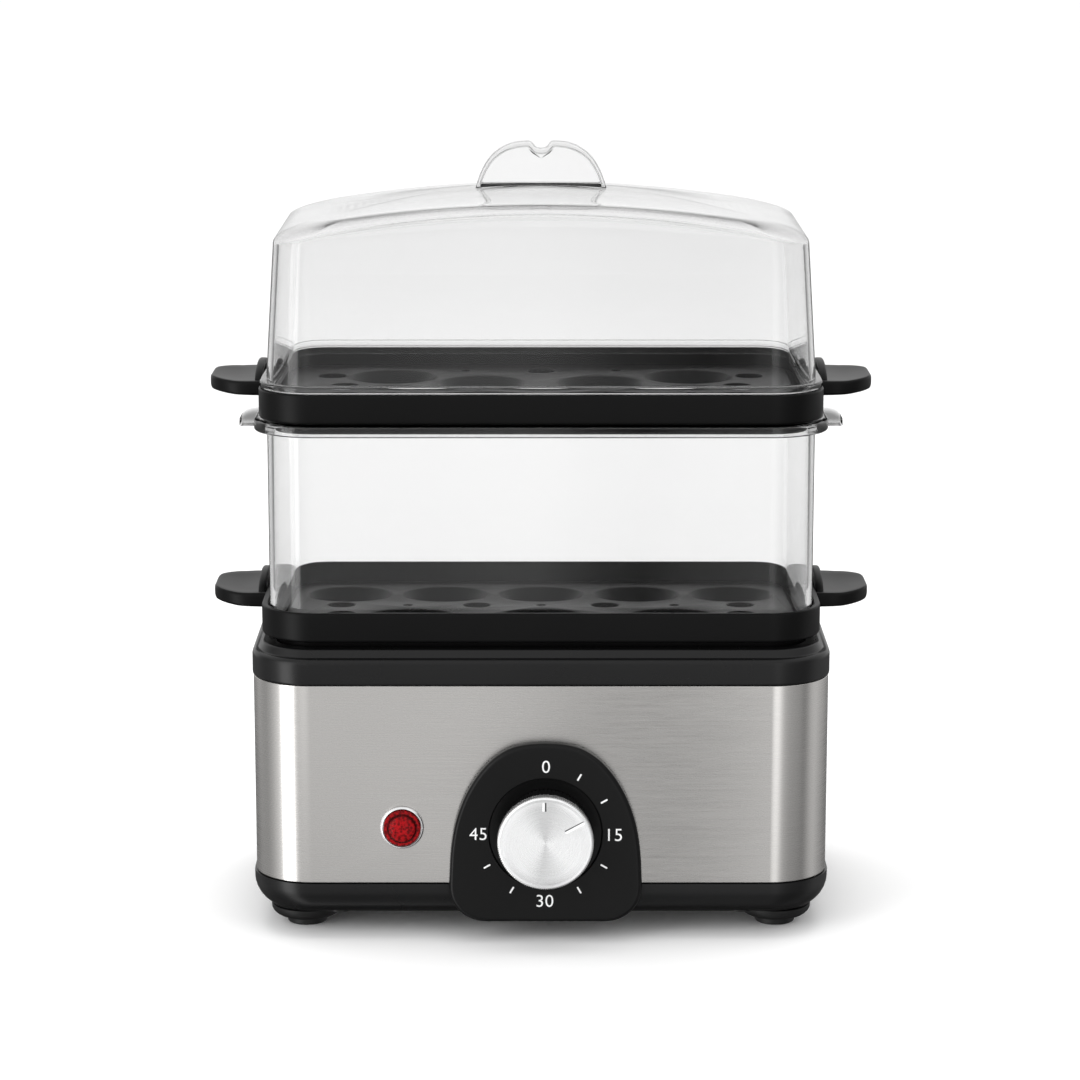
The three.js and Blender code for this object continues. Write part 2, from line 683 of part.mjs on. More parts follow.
// Strap under the basin whose turned-up ends press on the collar's ledge from below
function clampBar(side) {
  const x = side * studAcross;
  const reach = bodyHalfDepth - collarInner - ledgeReach / 2;
  const rise = collarFoot - clear;
  const top = plateUnder - clear;
  const strap = box(x - clampHalfWidth, x + clampHalfWidth, -reach, reach, top - clampSheet, top);
  const ends = [-1, 1].map((end) => box(x - clampHalfWidth, x + clampHalfWidth,
    end * reach, end * (reach - clampSheet), top - clampSheet, rise));
  return cutBy(joined([strap, ...ends]),
    [drum(studRadius + clear, top - 2 * clampSheet, top + overrun, x, 0)]);
}

function nut(side, top) {
  const x = side * studAcross;
  return cutBy(drum(nutRadius, top - nutHeight, top, x, 0, nutSides),
    [drum(nutBore, top - nutHeight - overrun, top + overrun, x, 0)]);
}

// Tubular heater: open loop under the basin, its two ends turned down at the back
function heatingElement() {
  const z = plateUnder - clear - elementTube;
  const points = [];
  const spots = 16;
  const from = Math.PI / 2 + elementGapShare * Math.PI;
  const sweep = 2 * Math.PI * (1 - elementGapShare);
  for (let i = 0; i <= spots; i += 1) {
    const turn = from + sweep * (i / spots);
    const dip = i % spots === 0 ? elementTube / 4 : 0;
    points.push([elementLoop * Math.cos(turn), elementLoop * Math.sin(turn), z - dip]);
  }
  const [first, last] = [points[0], points[spots]];
  const down = ([x, y]) => [x, y + elementTube, z - elementDrop];
  return tube([down(first), [first[0], first[1] + elementTube, z - elementDrop / 2], ...points,
    [last[0], last[1] + elementTube, z - elementDrop / 2], down(last)], elementTube, elementSteps,
    elementSides);
}

function thermostat() {
  const top = plateUnder - clear;
  const low = top - thermostatHeight;
  const blade = (side) => {
    const x = side * thermostatRadius / 2;
    return box(x - thermostatBladeThickness / 2, x + thermostatBladeThickness / 2,
      -thermostatBladeWidth / 2,
      thermostatBladeWidth / 2, low - thermostatBladeHeight, low + overrun);
  };
  return joined([drum(thermostatRadius, low, top, 0, 0, roundSides), blade(1), blade(-1)]);
}

// Bowed strip that holds the thermostat up against the plate, with a slot for its blades
function thermostatBracket() {
  const low = plateUnder - 2 * clear - thermostatHeight - bracketSheet;
  const top = plateUnder - clear;
  const strip = box(-bracketHalfLength, bracketHalfLength, -bracketHalfWidth, bracketHalfWidth, low,
    low + bracketSheet);
  const ends = [-1, 1].map((side) => box(side * bracketHalfLength,
    side * (bracketHalfLength - bracketSheet),
    -bracketHalfWidth, bracketHalfWidth, low, top));
  const slotHalf = thermostatRadius / 2 + thermostatBladeThickness;
  const slot = box(-slotHalf, slotHalf, -thermostatBladeWidth / 2 - clear, thermostatBladeWidth / 2 + clear,
    low - overrun, low + bracketSheet + overrun);
  return cutBy(joined([strip, ...ends]), [slot]);
}

function thermalFuse() {
  const z = plateUnder - clear - fuseRadius;
  const geometry = new THREE.CylinderGeometry(fuseRadius, fuseRadius, 2 * fuseHalfLength, smallSides);
  geometry.rotateZ(Math.PI / 2);
  geometry.translate(0, -fuseOffset, z);
  return solid(geometry);
}

// Sheet under the heater, hung on the plate's studs, with a window for the leads
function heatShield() {
  const low = shieldTop - shieldSheet;
  const sheet = box(-shieldHalfWidth, shieldHalfWidth, -shieldHalfDepth, shieldHalfDepth, low, shieldTop);
  const lips = [-1, 1].map((end) => box(-shieldHalfWidth, shieldHalfWidth,
    end * shieldHalfDepth, end * (shieldHalfDepth - shieldSheet), low, shieldTop + shieldLip));
  const holes = [-1, 1].map((side) =>
    drum(studRadius + clear, low - overrun, shieldTop + overrun, side * studAcross, 0));
  const window = box(-shieldWindowHalf, shieldWindowHalf, -shieldWindowHalf / 2,
    shieldHalfDepth - 2 * shieldSheet,
    low - overrun, shieldTop + overrun);
  return cutBy(joined([sheet, ...lips]), [...holes, window]);
}

// Steel wrap with its openings for the timer, the lamp and the cord entry
function bodyShell() {
  const outer = wrapInset;
  const shell = frameOf(bodyPlan, outer, outer + wrapThickness, wrapFoot, wrapTop);
  const front = -(wrapFace + overrun);
  const back = -(wrapFace - wrapThickness - overrun);
  return cutBy(shell, [
    onDial(pin(bushingRadius + clear, front, back, 0, dialHeight, roundSides)),
    pin(lampBarrel + lampHoleSlack, front, back, lampAcross, lampHeight, roundSides),
    pin(glandNeck + clear, -back, -front, glandAcross, glandHeight, roundSides),
    ...timerScrewSpots().map(([x, z]) => onDial(pin(timerScrewRadius + clear, front, back, x, z))),
  ]);
}

// Black base pan: deeply rounded lower edge, lip inside the wrap, pads for the feet, bosses for the screws
function basePan() {
  const out = -panFlare;
  const at = ([x, z]) => [out + x, panFoot + z];
  const edge = quarter(panRound, panRound, panRound, panRound, 2).map(at);
  const inside = quarter(panRound, panRound, panRound - panWall, panRound - panFloor, 2).reverse().map(at);
  const shell = wrapped(bodyPlan, [[0, panFoot + panFloor, 0], ...inside, [out + panWall, panTop],
    [lipInset + lipThickness, panTop],
    [lipInset + lipThickness, panTop + lipRise], [lipInset, panTop + lipRise], [lipInset, panTop],
    [out, panTop], ...edge, [0, panFoot, 0]]);
  const floor = panFoot + panFloor;
  const pads = corners.map(([sx, sy]) =>
    drum(footFlangeRadius, panFoot, floor, sx * footAcross, sy * footAlong, roundSides));
  const sockets = corners.map(([sx, sy]) =>
    drum(footPegRadius + clear, panFoot - overrun, floor + overrun, sx * footAcross, sy * footAlong));
  const atPost = (radius, low, high) => corners.map(([sx, sy]) =>
    drum(radius, low, high, sx * postAcross, sy * postAlong, roundSides));
  const bossTop = panFoot + screwBossRise;
  const bosses = atPost(screwBossRadius, floor - panFloor / 2, bossTop);
  const holes = atPost(screwRadius + clear, panFoot - overrun, bossTop + overrun);
  const sinks = atPost(screwHeadRadius + screwSlack, panFoot - overrun, panFoot + screwSink);
  const timerRoom = onDial(box(-timerHalf - clear, timerHalf + clear, -bodyHalfDepth,
    timerFront + timerPlateSheet + overrun, panTop, panTop + lipRise + overrun));
  return cutBy(joined([shell, terminalRest(), ...pads, ...bosses]),
    [...sockets, ...holes, ...sinks, timerRoom]);
}

// Boss on the pan that the terminal block stands on
function terminalRest() {
  const low = panFoot + panFloor / 2;
  return box(terminalAcross - terminalWidth / 2, terminalAcross + terminalWidth / 2,
    terminalAlong - terminalDepth / 2, terminalAlong + terminalDepth / 2, low,
    panFoot + panFloor + terminalFootHeight);
}

// Foot: narrow tread, flange that curves out to the pan, peg
function foot(sx, sy) {
  const peg = panFoot + footPegLength;
  const flange = quarter(footTreadRadius, footHeight, footFlangeRadius - footTreadRadius,
    footTreadHeight - footHeight, 0).reverse();
  return spun([[0, 0], [footTreadRadius - footEdge, 0], [footTreadRadius, footEdge], ...flange,
    [footPegRadius, footHeight], [footPegRadius, peg], [0, peg]], sx * footAcross, sy * footAlong);
}

function baseScrew(sx, sy) {
  const head = panFoot + screwSink - clear;
  const tip = panFoot + screwBossRise + screwBite;
  return spun([[0, head - screwHeadHeight], [screwHeadRadius, head - screwHeadHeight],
    [screwHeadRadius, head], [screwRadius, head], [screwRadius, tip], [0, tip]],
  sx * postAcross, sy * postAlong, smallSides);
}

// Black arch-topped panel with a bevelled edge, a shallow well for the knob and the shaft's bore
function controlPanel() {
  const arch = (inset) => archShares.map(([x, z]) =>
    [x * (panelHalfWidth - inset), panelWaist + z * (panelTop - inset - panelWaist)]);
  const outline = (inset) => {
    const radius = panelFoot - inset;
    const cornerX = panelHalfWidth - panelFoot;
    const cornerZ = panelBottom + panelFoot;
    return mirroredX([...quarter(cornerX, cornerZ, radius, radius, -1), ...arch(inset)]);
  };
  const steps = Array.from({ length: bevelSteps + 1 }, (_, step) => panelBevel * step / bevelSteps);
  const body = joined(steps.map((drawn) =>
    standing(outline(drawn), panelBack, panelThickness - panelBevel + drawn)));
  return cutBy(body, [
    pin(knobWell, panelFace - overrun, wellFace, 0, dialHeight, 2 * roundSides),
    pin(bushingRadius + clear, wellFace - overrun, panelBack + overrun, 0, dialHeight),
    ...timerScrewSpots().map(([x, z]) => pin(timerScrewRadius + clear, wellFace - overrun,
      panelBack + overrun, x, z)),
  ]);
}

// Spun cap: flat rim, shallow cone and a hub recess at the back
function knobCap() {
  const back = capFront + knobCapThickness;
  return turned([[0, capFront + knobCapDish], [knobCapRadius - 2 * knobCapRim, capFront],
    [knobCapRadius - knobCapRim / 2, capFront], [knobCapRadius, capFront + knobCapRim],
    [knobCapRadius, back],
    [0, back]], 0, dialHeight, 2 * roundSides);
}

// Ribbed knob body, open at the back round its hub
function knobBody() {
  const ribs = [];
  for (let i = 0; i < 2 * knobRibs; i += 1) {
    const turn = (i / (2 * knobRibs)) * 2 * Math.PI;
    const radius = i % 2 === 0 ? knobBodyRadius : knobBodyRadius - knobRibDepth;
    ribs.push([radius * Math.cos(turn), dialHeight + radius * Math.sin(turn)]);
  }
  const rim = standing(ribs, knobBack, knobBodyDepth);
  const inner = knobBodyRadius - knobRibDepth - knobWall;
  const hollow = turned([[knobHub, knobBack + overrun], [inner, knobBack + overrun],
    [inner, knobFront + knobWall],
    [knobHub, knobFront + knobWall], [knobHub, knobBack + overrun]], 0, dialHeight);
  const bore = pin(shaftRadius + clear, knobFront + knobWall, knobBack + overrun, 0, dialHeight);
  return cutBy(rim, [hollow, bore]);
}

// Lamp lens: flange, low dome and a hollow barrel through the wrap
function lampLens() {
  const back = -(wrapFace + clear);
  const face = back - lampFlange;
  const end = back + lampBarrelLength;
  const inner = lampBarrel - lampWall;
  return turned([...lampDomeShares.map(([out, up]) => [out * lampDome, face - up * lampDomeRise]),
    [lampFlangeRadius, face], [lampFlangeRadius, back], [lampBarrel, back], [lampBarrel, end], [inner, end],
    [inner, face + lampWall], [0, face + lampWall]], lampAcross, lampHeight);
}

const lampBezel = () => {
  const back = -(wrapFace + clear);
  const inner = lampFlangeRadius + clear;
  return turned([[inner, back], [inner, back - bezelDepth], [inner + bezelWidth, back - bezelDepth / 2],
    [inner + bezelWidth, back], [inner, back]], lampAcross, lampHeight);
};

const lampClip = () => {
  const front = -(wrapFace - wrapThickness - clear);
  const inner = lampBarrel + clear;
  return turned([[inner, front], [inner + clipWidth, front], [inner + clipWidth, front + clipThickness],
    [inner, front + clipThickness], [inner, front]], lampAcross, lampHeight, smallSides);
};

const neonLamp = () => {
  const front = -(wrapFace + clear) - lampFlange + lampWall + clear;
  return turned([[0, front], [neonTip, front], [neonRadius, front + neonRadius / 2],
    [neonRadius, front + neonLength], [0, front + neonLength]], lampAcross, lampHeight, smallSides);
};

// Moves a piece of the dial or its timer from the middle to its place across
const onDial = (shape) => shape.translate([dialAcross, 0, 0]);

// Timer: front plate, cup, shaft, toothed wheel, pinion, cam and switch
const timerScrewSpots = () => [[-timerScrewAcross, dialHeight], [timerScrewAcross, dialHeight]];

function timerPlate() {
  const plate = box(-timerHalf, timerHalf, timerFront, timerFront + timerPlateSheet, dialHeight - timerHalf,
    dialHeight + timerHalf);
  const bushing = turned([[shaftRadius + shaftHole, timerFront + timerPlateSheet / 2],
    [shaftRadius + shaftHole, wellFace + clear], [bushingRadius, wellFace + clear],
    [bushingRadius, timerFront + timerPlateSheet / 2],
    [shaftRadius + shaftHole, timerFront + timerPlateSheet / 2]],
  0, dialHeight, smallSides);
  return cutBy(joined([plate, bushing]), [
    pin(shaftRadius + shaftHole, timerFront - overrun, timerFront + timerPlateSheet + overrun, 0,
      dialHeight),
    ...timerScrewSpots().map(([x, z]) =>
      pin(timerScrewRadius + clear, timerFront - overrun, timerFront + timerPlateSheet + overrun, x, z)),
    pin(arborRadius + clear, timerFront - overrun, timerFront + timerPlateSheet + overrun,
      pinionAcross, pinionHeight),
  ]);
}

function timerCase() {
  const low = dialHeight - timerHalf;
  const high = dialHeight + timerHalf;
  const cup = box(-timerHalf, timerHalf, caseFront, caseBack, low, high);
  const inside = box(-timerHalf + timerWall, timerHalf - timerWall, caseFront - overrun,
    caseBack - timerWall,
    low + timerWall, high - timerWall);
  return cutBy(cup, [inside,
    pin(shaftPilot + clear, caseBack - timerWall - overrun, caseBack + overrun, 0, dialHeight),
    pin(arborRadius + clear, caseBack - timerWall - overrun, caseBack + overrun, pinionAcross,
      pinionHeight),
    box(blockLeft(), timerHalf + overrun, blockFront(), blockFront() + blockDepth, blockLow(),
      blockLow() + blockHeight)]);
}

function timerShaft() {
  const shoulder = caseBack - timerWall - clear;
  return turned([[0, knobFront + knobWall + clear], [shaftRadius, knobFront + knobWall + clear],
    [shaftRadius, shoulder], [shaftPilot, shoulder], [shaftPilot, caseBack], [0, caseBack]], 0, dialHeight);
}

// Toothed outline round (x, z), with a tooth centred at the bearing start.
function teeth(count, start, x, z) {
  const pitchRadius = count * toothModule / 2;
  const tip = pitchRadius + toothTipShare * toothModule;
  const root = pitchRadius - toothRootShare * toothModule;
  const step = 2 * Math.PI / count;
  const half = toothWidthShare * step / 2;
  const crest = half * toothCrestShare * pitchRadius / tip;
  const foot = half * toothFootShare;
  const points = [];
  for (let i = 0; i < count; i += 1) {
    const mid = start + i * step;
    [[root, -foot], [tip, -crest], [tip, crest], [root, foot]].forEach(([radius, turn]) =>
      points.push([x + radius * Math.cos(mid + turn), z + radius * Math.sin(mid + turn)]));
  }
  return points;
}

function timerWheel() {
  const bearing = THREE.MathUtils.degToRad(pinionBearing);
  const back = caseFront + wheelOffset + wheelThickness;
  const gapStart = bearing + Math.PI / wheelTeeth;
  return cutBy(standing(teeth(wheelTeeth, gapStart, 0, dialHeight), back, wheelThickness),
    [pin(shaftRadius + clear, back - wheelThickness - overrun, back + overrun, 0, dialHeight)]);
}

function timerPinion() {
  const bearing = THREE.MathUtils.degToRad(pinionBearing) + Math.PI;
  const middle = caseFront + wheelOffset + wheelThickness / 2;
  const gear = standing(teeth(pinionTeeth, bearing, pinionAcross, pinionHeight),
    middle + pinionThickness / 2,
    pinionThickness);
  return joined([gear, pin(arborRadius, timerFront, caseBack, pinionAcross, pinionHeight)]);
}

function timerCam() {
  const front = caseFront + camOffset;
  const disc = pin(camRadius, front, front + camThickness, 0, dialHeight, roundSides);
  const notch = box(-camNotchHalf, camNotchHalf, front - overrun, front + camThickness + overrun,
    dialHeight + camRadius - camNotch, dialHeight + camRadius + overrun);
  return cutBy(disc, [notch,
    pin(shaftRadius + clear, front - overrun, front + camThickness + overrun, 0, dialHeight)]);
}

// Switch block in the case's side wall, with two leaves over the cam
const blockLeft = () => timerHalf - timerWall - blockWidth + clear;
const blockFront = () => caseFront + camOffset + camThickness / 2 - blockDepth / 2;
const blockLow = () => dialHeight + camRadius + clear;

function switchBlock() {
  const low = blockLow() + clear;
  const high = blockLow() + blockHeight - clear;
  const body = box(blockLeft() + clear, timerHalf + clear, blockFront() + clear,
    blockFront() + blockDepth - clear,
    low, high);
  return cutBy(body, [0, 1].map((place) => {
    const z = leafHeight(place);
    return box(blockLeft() - overrun, timerHalf + overrun, leafFront() - clear,
      leafFront() + leafWidth + clear,
      z - leafThickness / 2 - clear, z + leafThickness / 2 + clear);
  }));
}

const leafFront = () => caseFront + camOffset + camThickness / 2 - leafWidth / 2;
const leafHeight = (place) => blockLow() + (blockHeight - leafSpacing) / 2 + place * leafSpacing;

function contactLeaf(place) {
  const z = leafHeight(place);
  const end = timerHalf + leafTab;
  return box(timerHalf - leafReach - timerWall, end, leafFront(), leafFront() + leafWidth,
    z - leafThickness / 2,
    z + leafThickness / 2);
}

function timerScrew([x, z]) {
  const head = wellFace - timerScrewProud;
  return turned([[0, head], [timerScrewRadius, head], [timerScrewRadius, timerFront + timerPlateSheet],
    [0, timerFront + timerPlateSheet]], x, z, smallSides);
}

// Bushing where the supply cord enters, with its nut inside the wrap
function cordGland() {
  const inside = wrapFace - wrapThickness - clear - glandTail;
  return turned([[glandBore, inside], [glandNeck, inside], [glandNeck, glandFace],
    [glandFlangeRadius, glandFace], [glandFlangeRadius - glandChamfer, glandFace + glandFlange],
    [glandBore, glandFace + glandFlange], [glandBore, inside]], glandAcross, glandHeight);
}

function glandNut() {
  const back = wrapFace - wrapThickness - clear;
  return cutBy(pin(glandNutRadius, back - glandNutThickness, back, glandAcross, glandHeight, nutSides),
    [pin(glandNeck + clear, back - glandNutThickness - overrun, back + overrun, glandAcross,
      glandHeight, roundSides)]);
}

// Wires, each from one terminal to the next by way of a few bends
function wiring() {
  const tabX = dialAcross + timerHalf + leafTab + wireGap;
  const tabY = (n) => leafFront() + leafWidth / 2 + n * wirePitch / 2;
  const [lowTab, highTab] = [leafHeight(0), leafHeight(1)];
  const port = (n) => {
    const [x, z] = terminalPorts()[n + 1];
    return [x, terminalAlong - terminalDepth / 2 - wireGap, z];
  };
  const bladeX = thermostatRadius / 2;
  const bladeZ = plateUnder - clear - thermostatHeight - thermostatBladeHeight - wireGap;
  const fuseX = fuseHalfLength + wireGap;
  const fuseZ = plateUnder - clear - fuseRadius;
  const windowFront = -shieldWindowHalf / 2 + 2 * wireRadius;
  const elementX = elementLoop * Math.sin(elementGapShare * Math.PI);
  const elementY = elementLoop * Math.cos(elementGapShare * Math.PI) + elementTube;
  const elementZ = plateUnder - clear - elementTube - elementDrop - wireGap;
  const neonBack = -(wrapFace + clear) - lampFlange + lampWall + clear + neonLength + wireGap;
  const below = shieldTop - shieldSheet - wireBend;
  const forward = ([x, y, z]) => [x, y - wireBend, z];
  const run = (points) => tube(points, wireRadius, wireSteps);
  return {
    live: run([port(-1), forward(port(-1)), [tabX + wireBend, 0, (port(-1)[2] + lowTab) / 2],
      [tabX + wireBend, tabY(0) + wireBend, lowTab - wireBend / 2], [tabX, tabY(0), lowTab]]),
    load: run([[tabX, tabY(-1), highTab], [tabX + wireBend, tabY(-1), highTab + wireBend / 2],
      [tabX, tabY(0) + 3 * wireBend, below], [bladeX + wireBend / 2, -wireBend / 2, bladeZ - wireBend],
      [bladeX, 0, bladeZ]]),
    link: run([[-bladeX, 0, bladeZ], [-bladeX - wireRadius, windowFront / 4, bladeZ - wireBend / 2],
      [-fuseX - wireBend, windowFront, shieldTop + wireRadius],
      [-fuseX - wireBend, -fuseOffset + wireRadius, fuseZ - wireRadius],
      [-fuseX, -fuseOffset, fuseZ]]),
    heater: run([[fuseX, -fuseOffset, fuseZ],
      [fuseX + wireBend, -fuseOffset + wireRadius, fuseZ - wireRadius],
      [fuseX + wireBend, windowFront, shieldTop + wireRadius], [fuseX + wireBend, 0, below],
      [elementX, elementY - wireBend, elementZ - wireBend], [elementX, elementY, elementZ]]),
    neutral: run([port(0), forward(port(0)),
      [port(0)[0] - wireBend, elementY / 2, (port(0)[2] + elementZ) / 2],
      [-elementX, elementY - wireBend, elementZ - 2 * wireBend], [-elementX, elementY, elementZ]]),
    lamp_neutral: run([port(1), forward(port(1)), [0, -wireBend, panFoot + panFloor + wireBend],
      [lampAcross + wireBend, neonBack + 2 * wireBend, lampHeight - 2 * wireBend],
      [lampAcross + wirePitch / 2, neonBack + wireBend, lampHeight - wireRadius],
      [lampAcross + wirePitch / 2, neonBack, lampHeight]]),
    lamp_live: run([[tabX, tabY(1), highTab], [tabX + wireBend / 2, tabY(1) + wireBend / 2, highTab],
      [timerHalf, caseBack + wireBend / 2, highTab], [0, caseBack + wireBend, highTab],
      [-timerHalf, caseBack + wireBend / 2, highTab],
      [lampAcross - wirePitch / 2, neonBack + 2 * wireBend, lampHeight + wireBend / 2],
      [lampAcross - wirePitch / 2, neonBack, lampHeight]]),
  };
}

const terminalLow = () => panFoot + panFloor + terminalFootHeight + clear;
const terminalPorts = () => [-1, 0, 1].map((n) => [terminalAcross + n * terminalPitch,
  terminalLow() + terminalHeight / 2]);

function terminalBlock() {
  const low = terminalLow();
  const body = box(terminalAcross - terminalWidth / 2, terminalAcross + terminalWidth / 2,
    terminalAlong - terminalDepth / 2, terminalAlong + terminalDepth / 2, low, low + terminalHeight);
  return cutBy(body, terminalPorts().map(([x, z]) =>
    pin(terminalPort, terminalAlong - terminalDepth / 2 - overrun,
      terminalAlong + terminalDepth / 2 + overrun, x, z)));
}

// Build every piece
add('lid', 'clear', lid());
add('upper_tray', 'black', tray(upperTrayFoot, upperSeatShares, upperSteamShares, upperTinyShares));
add('steam_chamber', 'clear', chamber());
add('lower_tray', 'black', tray(lowerTrayFoot, lowerSeatShares, lowerSteamShares, lowerTinyShares));
add('collar', 'black', collar());
add('heating_plate', 'coated', heatingPlate());
add('plate_seal', 'silicone', plateSeal());
[-1, 1].forEach((side) => {
  const hand = side < 0 ? 'left' : 'right';
  add(`clamp_bar_${hand}`, 'plated', clampBar(side));
  add(`clamp_nut_${hand}`, 'brass', nut(side, plateUnder - 2 * clear - clampSheet));
  add(`shield_nut_${hand}`, 'brass', nut(side, shieldTop - shieldSheet - clear));
});
add('heating_element', 'plated', heatingElement());
add('thermostat', 'nylon', thermostat());
add('thermostat_bracket', 'plated', thermostatBracket());
add('thermal_fuse', 'plated', thermalFuse());
add('heat_shield', 'plated', heatShield());
add('body_shell', 'steel', bodyShell());
add('base_pan', 'black', basePan());
corners.forEach(([sx, sy, name]) => {
  add(`foot_${name}`, 'rubber', foot(sx, sy));
  add(`base_screw_${name}`, 'plated', baseScrew(sx, sy));
});
add('control_panel', 'panel', onDial(controlPanel()));
add('knob_cap', 'spun', onDial(knobCap()));
add('knob_body', 'black', onDial(knobBody()));
add('lamp_lens', 'red', lampLens());
add('lamp_bezel', 'plated', lampBezel());
add('lamp_clip', 'plated', lampClip());
add('neon_lamp', 'bulb', neonLamp());
add('timer_plate', 'plated', onDial(timerPlate()));
add('timer_case', 'plated', onDial(timerCase()));
add('timer_shaft', 'plated', onDial(timerShaft()));
add('timer_wheel', 'brass', onDial(timerWheel()));
add('timer_pinion', 'brass', onDial(timerPinion()));
add('timer_cam', 'nylon', onDial(timerCam()));
add('switch_block', 'ivory', onDial(switchBlock()));
add('contact_leaf_lower', 'brass', onDial(contactLeaf(0)));
add('contact_leaf_upper', 'brass', onDial(contactLeaf(1)));
timerScrewSpots().forEach((spot, i) =>
  add(`timer_screw_${i === 0 ? 'left' : 'right'}`, 'plated', onDial(timerScrew(spot))));
add('cord_gland', 'rubber', cordGland());
add('gland_nut', 'nylon', glandNut());
add('terminal_block', 'ivory', terminalBlock());
const wireLooks = { neutral: 'blue', lamp_neutral: 'blue' };
Object.entries(wiring()).forEach(([name, shape]) => add(`wire_${name}`, wireLooks[name] ?? 'brown', shape));

// The origin goes under the middle of the whole part, front to back.
const frontmost = capFront;
const rearmost = glandFace + glandFlange;
model.position.y = -(frontmost + rearmost) / 2;
const group = new THREE.Group();
group.add(model);

export default group;
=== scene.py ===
# Looks of the two-tier egg boiler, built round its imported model.
# Shapes are worked out in millimetres, with Y counted from the middle of the base.
import math

import bpy
import numpy as np
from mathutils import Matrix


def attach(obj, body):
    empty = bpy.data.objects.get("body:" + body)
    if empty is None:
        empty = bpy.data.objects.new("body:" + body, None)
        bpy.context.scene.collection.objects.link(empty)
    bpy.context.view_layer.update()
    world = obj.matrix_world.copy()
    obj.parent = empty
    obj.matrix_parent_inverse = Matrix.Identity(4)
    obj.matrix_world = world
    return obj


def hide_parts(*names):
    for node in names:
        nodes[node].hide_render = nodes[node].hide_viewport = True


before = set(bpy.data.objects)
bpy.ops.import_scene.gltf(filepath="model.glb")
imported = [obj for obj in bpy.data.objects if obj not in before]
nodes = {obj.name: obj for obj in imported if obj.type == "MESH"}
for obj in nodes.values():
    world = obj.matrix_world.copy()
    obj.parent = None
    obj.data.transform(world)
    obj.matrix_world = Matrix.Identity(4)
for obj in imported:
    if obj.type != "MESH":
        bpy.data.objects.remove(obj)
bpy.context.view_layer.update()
scene = bpy.context.scene
mm = 0.001
midY = 7.6  # the base's middle along Y in the whole part's own frame
print("frame loaded:", len(nodes), "nodes")

trayPlan = {"halfWidth": 108.1, "halfDepth": 63.4, "corner": 21.4}
bodyPlan = {"halfWidth": 112.0, "halfDepth": 67.3, "corner": 23.7}
lidPlan = dict(trayPlan, least=15.5)
dialSpot, lampSpot = (1.7, 43.8), (-53.52, 44.9)  # their middles, across and up
overrun, skim = 2.0, 0.01  # how far cutters run past a face, and by how little where they only clear it
corners = [(-1, -1, "front_left"), (1, -1, "front_right"), (-1, 1, "back_left"), (1, 1, "back_right")]


# Rounded rectangle drawn in by inset: each corner's centre plus its radius times (cos, sin) over a
# quarter turn, all times share. On a plan with a least corner, corners widen as the share falls.
def outlineGrid(plan, inset, share=1.0, steps=16):
    inset, share = (v if v.ndim == 2 else v[:, None] for v in map(np.atleast_1d, (inset, share)))
    column = np.arange(4 * (steps + 1))
    corner = column // (steps + 1)
    turn = (corner + (column % (steps + 1)) / steps) * math.pi / 2
    halfWidth, halfDepth = plan["halfWidth"] - inset, plan["halfDepth"] - inset
    least = plan["least"] + (1 - share) * halfDepth if "least" in plan else 0
    radius = np.minimum(np.maximum(plan["corner"] - inset, least), halfDepth)
    sideX = np.where((corner == 0) | (corner == 3), 1, -1)
    sideY = np.where(corner < 2, 1, -1)
    x = (sideX * (halfWidth - radius) + radius * np.cos(turn)) * share
    y = (sideY * (halfDepth - radius) + radius * np.sin(turn)) * share
    return x, y


# Adds columns along the two long sides of such a grid, so that a bow can follow them.
def sideColumns(grid, steps, extra=24):
    share = np.arange(1, extra) / extra
    half = 2 * (steps + 1)
    strips = []
    for first in (0, half):
        last = first + steps
        way = grid[:, last + 1:last + 2] - grid[:, last:last + 1]
        strips += [grid[:, first:last + 1], grid[:, last:last + 1] + share * way,
                   grid[:, last + 1:first + half]]
    return np.concatenate(strips, axis=1)


# Rounds a line's corners: near each one it follows (1-t)^2 a + 2t(1-t) b + t^2 c, where b is the corner
# and a and c lie on its two sides, at most 0.45 of a side away.
def softened(points, radius, steps=4, closed=True):
    points = np.asarray(points, float)
    radius = np.maximum(np.broadcast_to(radius, len(points)), 0.05)
    before, after = np.roll(points, 1, axis=0), np.roll(points, -1, axis=0)
    if not closed:
        before[0], after[-1] = points[0], points[-1]
    ends = []
    for other in (before, after):
        way = other - points
        length = np.maximum(np.linalg.norm(way, axis=1), 1e-9)
        ends.append(points + way * (np.minimum(radius, 0.45 * length) / length)[:, None])
    t = np.linspace(0, 1, steps + 1)[None, :, None]
    curve = (1 - t) ** 2 * ends[0][:, None] + 2 * t * (1 - t) * points[:, None] + t * t * ends[1][:, None]
    curve = curve.reshape(-1, points.shape[1])
    kept = np.r_[True, np.linalg.norm(np.diff(curve, axis=0), axis=1) > 1e-6]
    return curve[kept]


def softLine(points, radius, steps=4):
    return softened(points, radius, steps, closed=False)


# Turns a closed skin's faces outward: its signed volume, a sum of a . (b x c), must be positive.
def outward(points, quads, fans):
    threes = np.concatenate([quads[:, [0, 1, 2]], quads[:, [0, 2, 3]], fans])
    a, b, c = (points[threes[:, i]] for i in range(3))
    if np.einsum("ij,ij->", a, np.cross(b, c)) < 0:
        quads, fans = quads[:, ::-1], fans[:, ::-1]
    return points, quads, fans


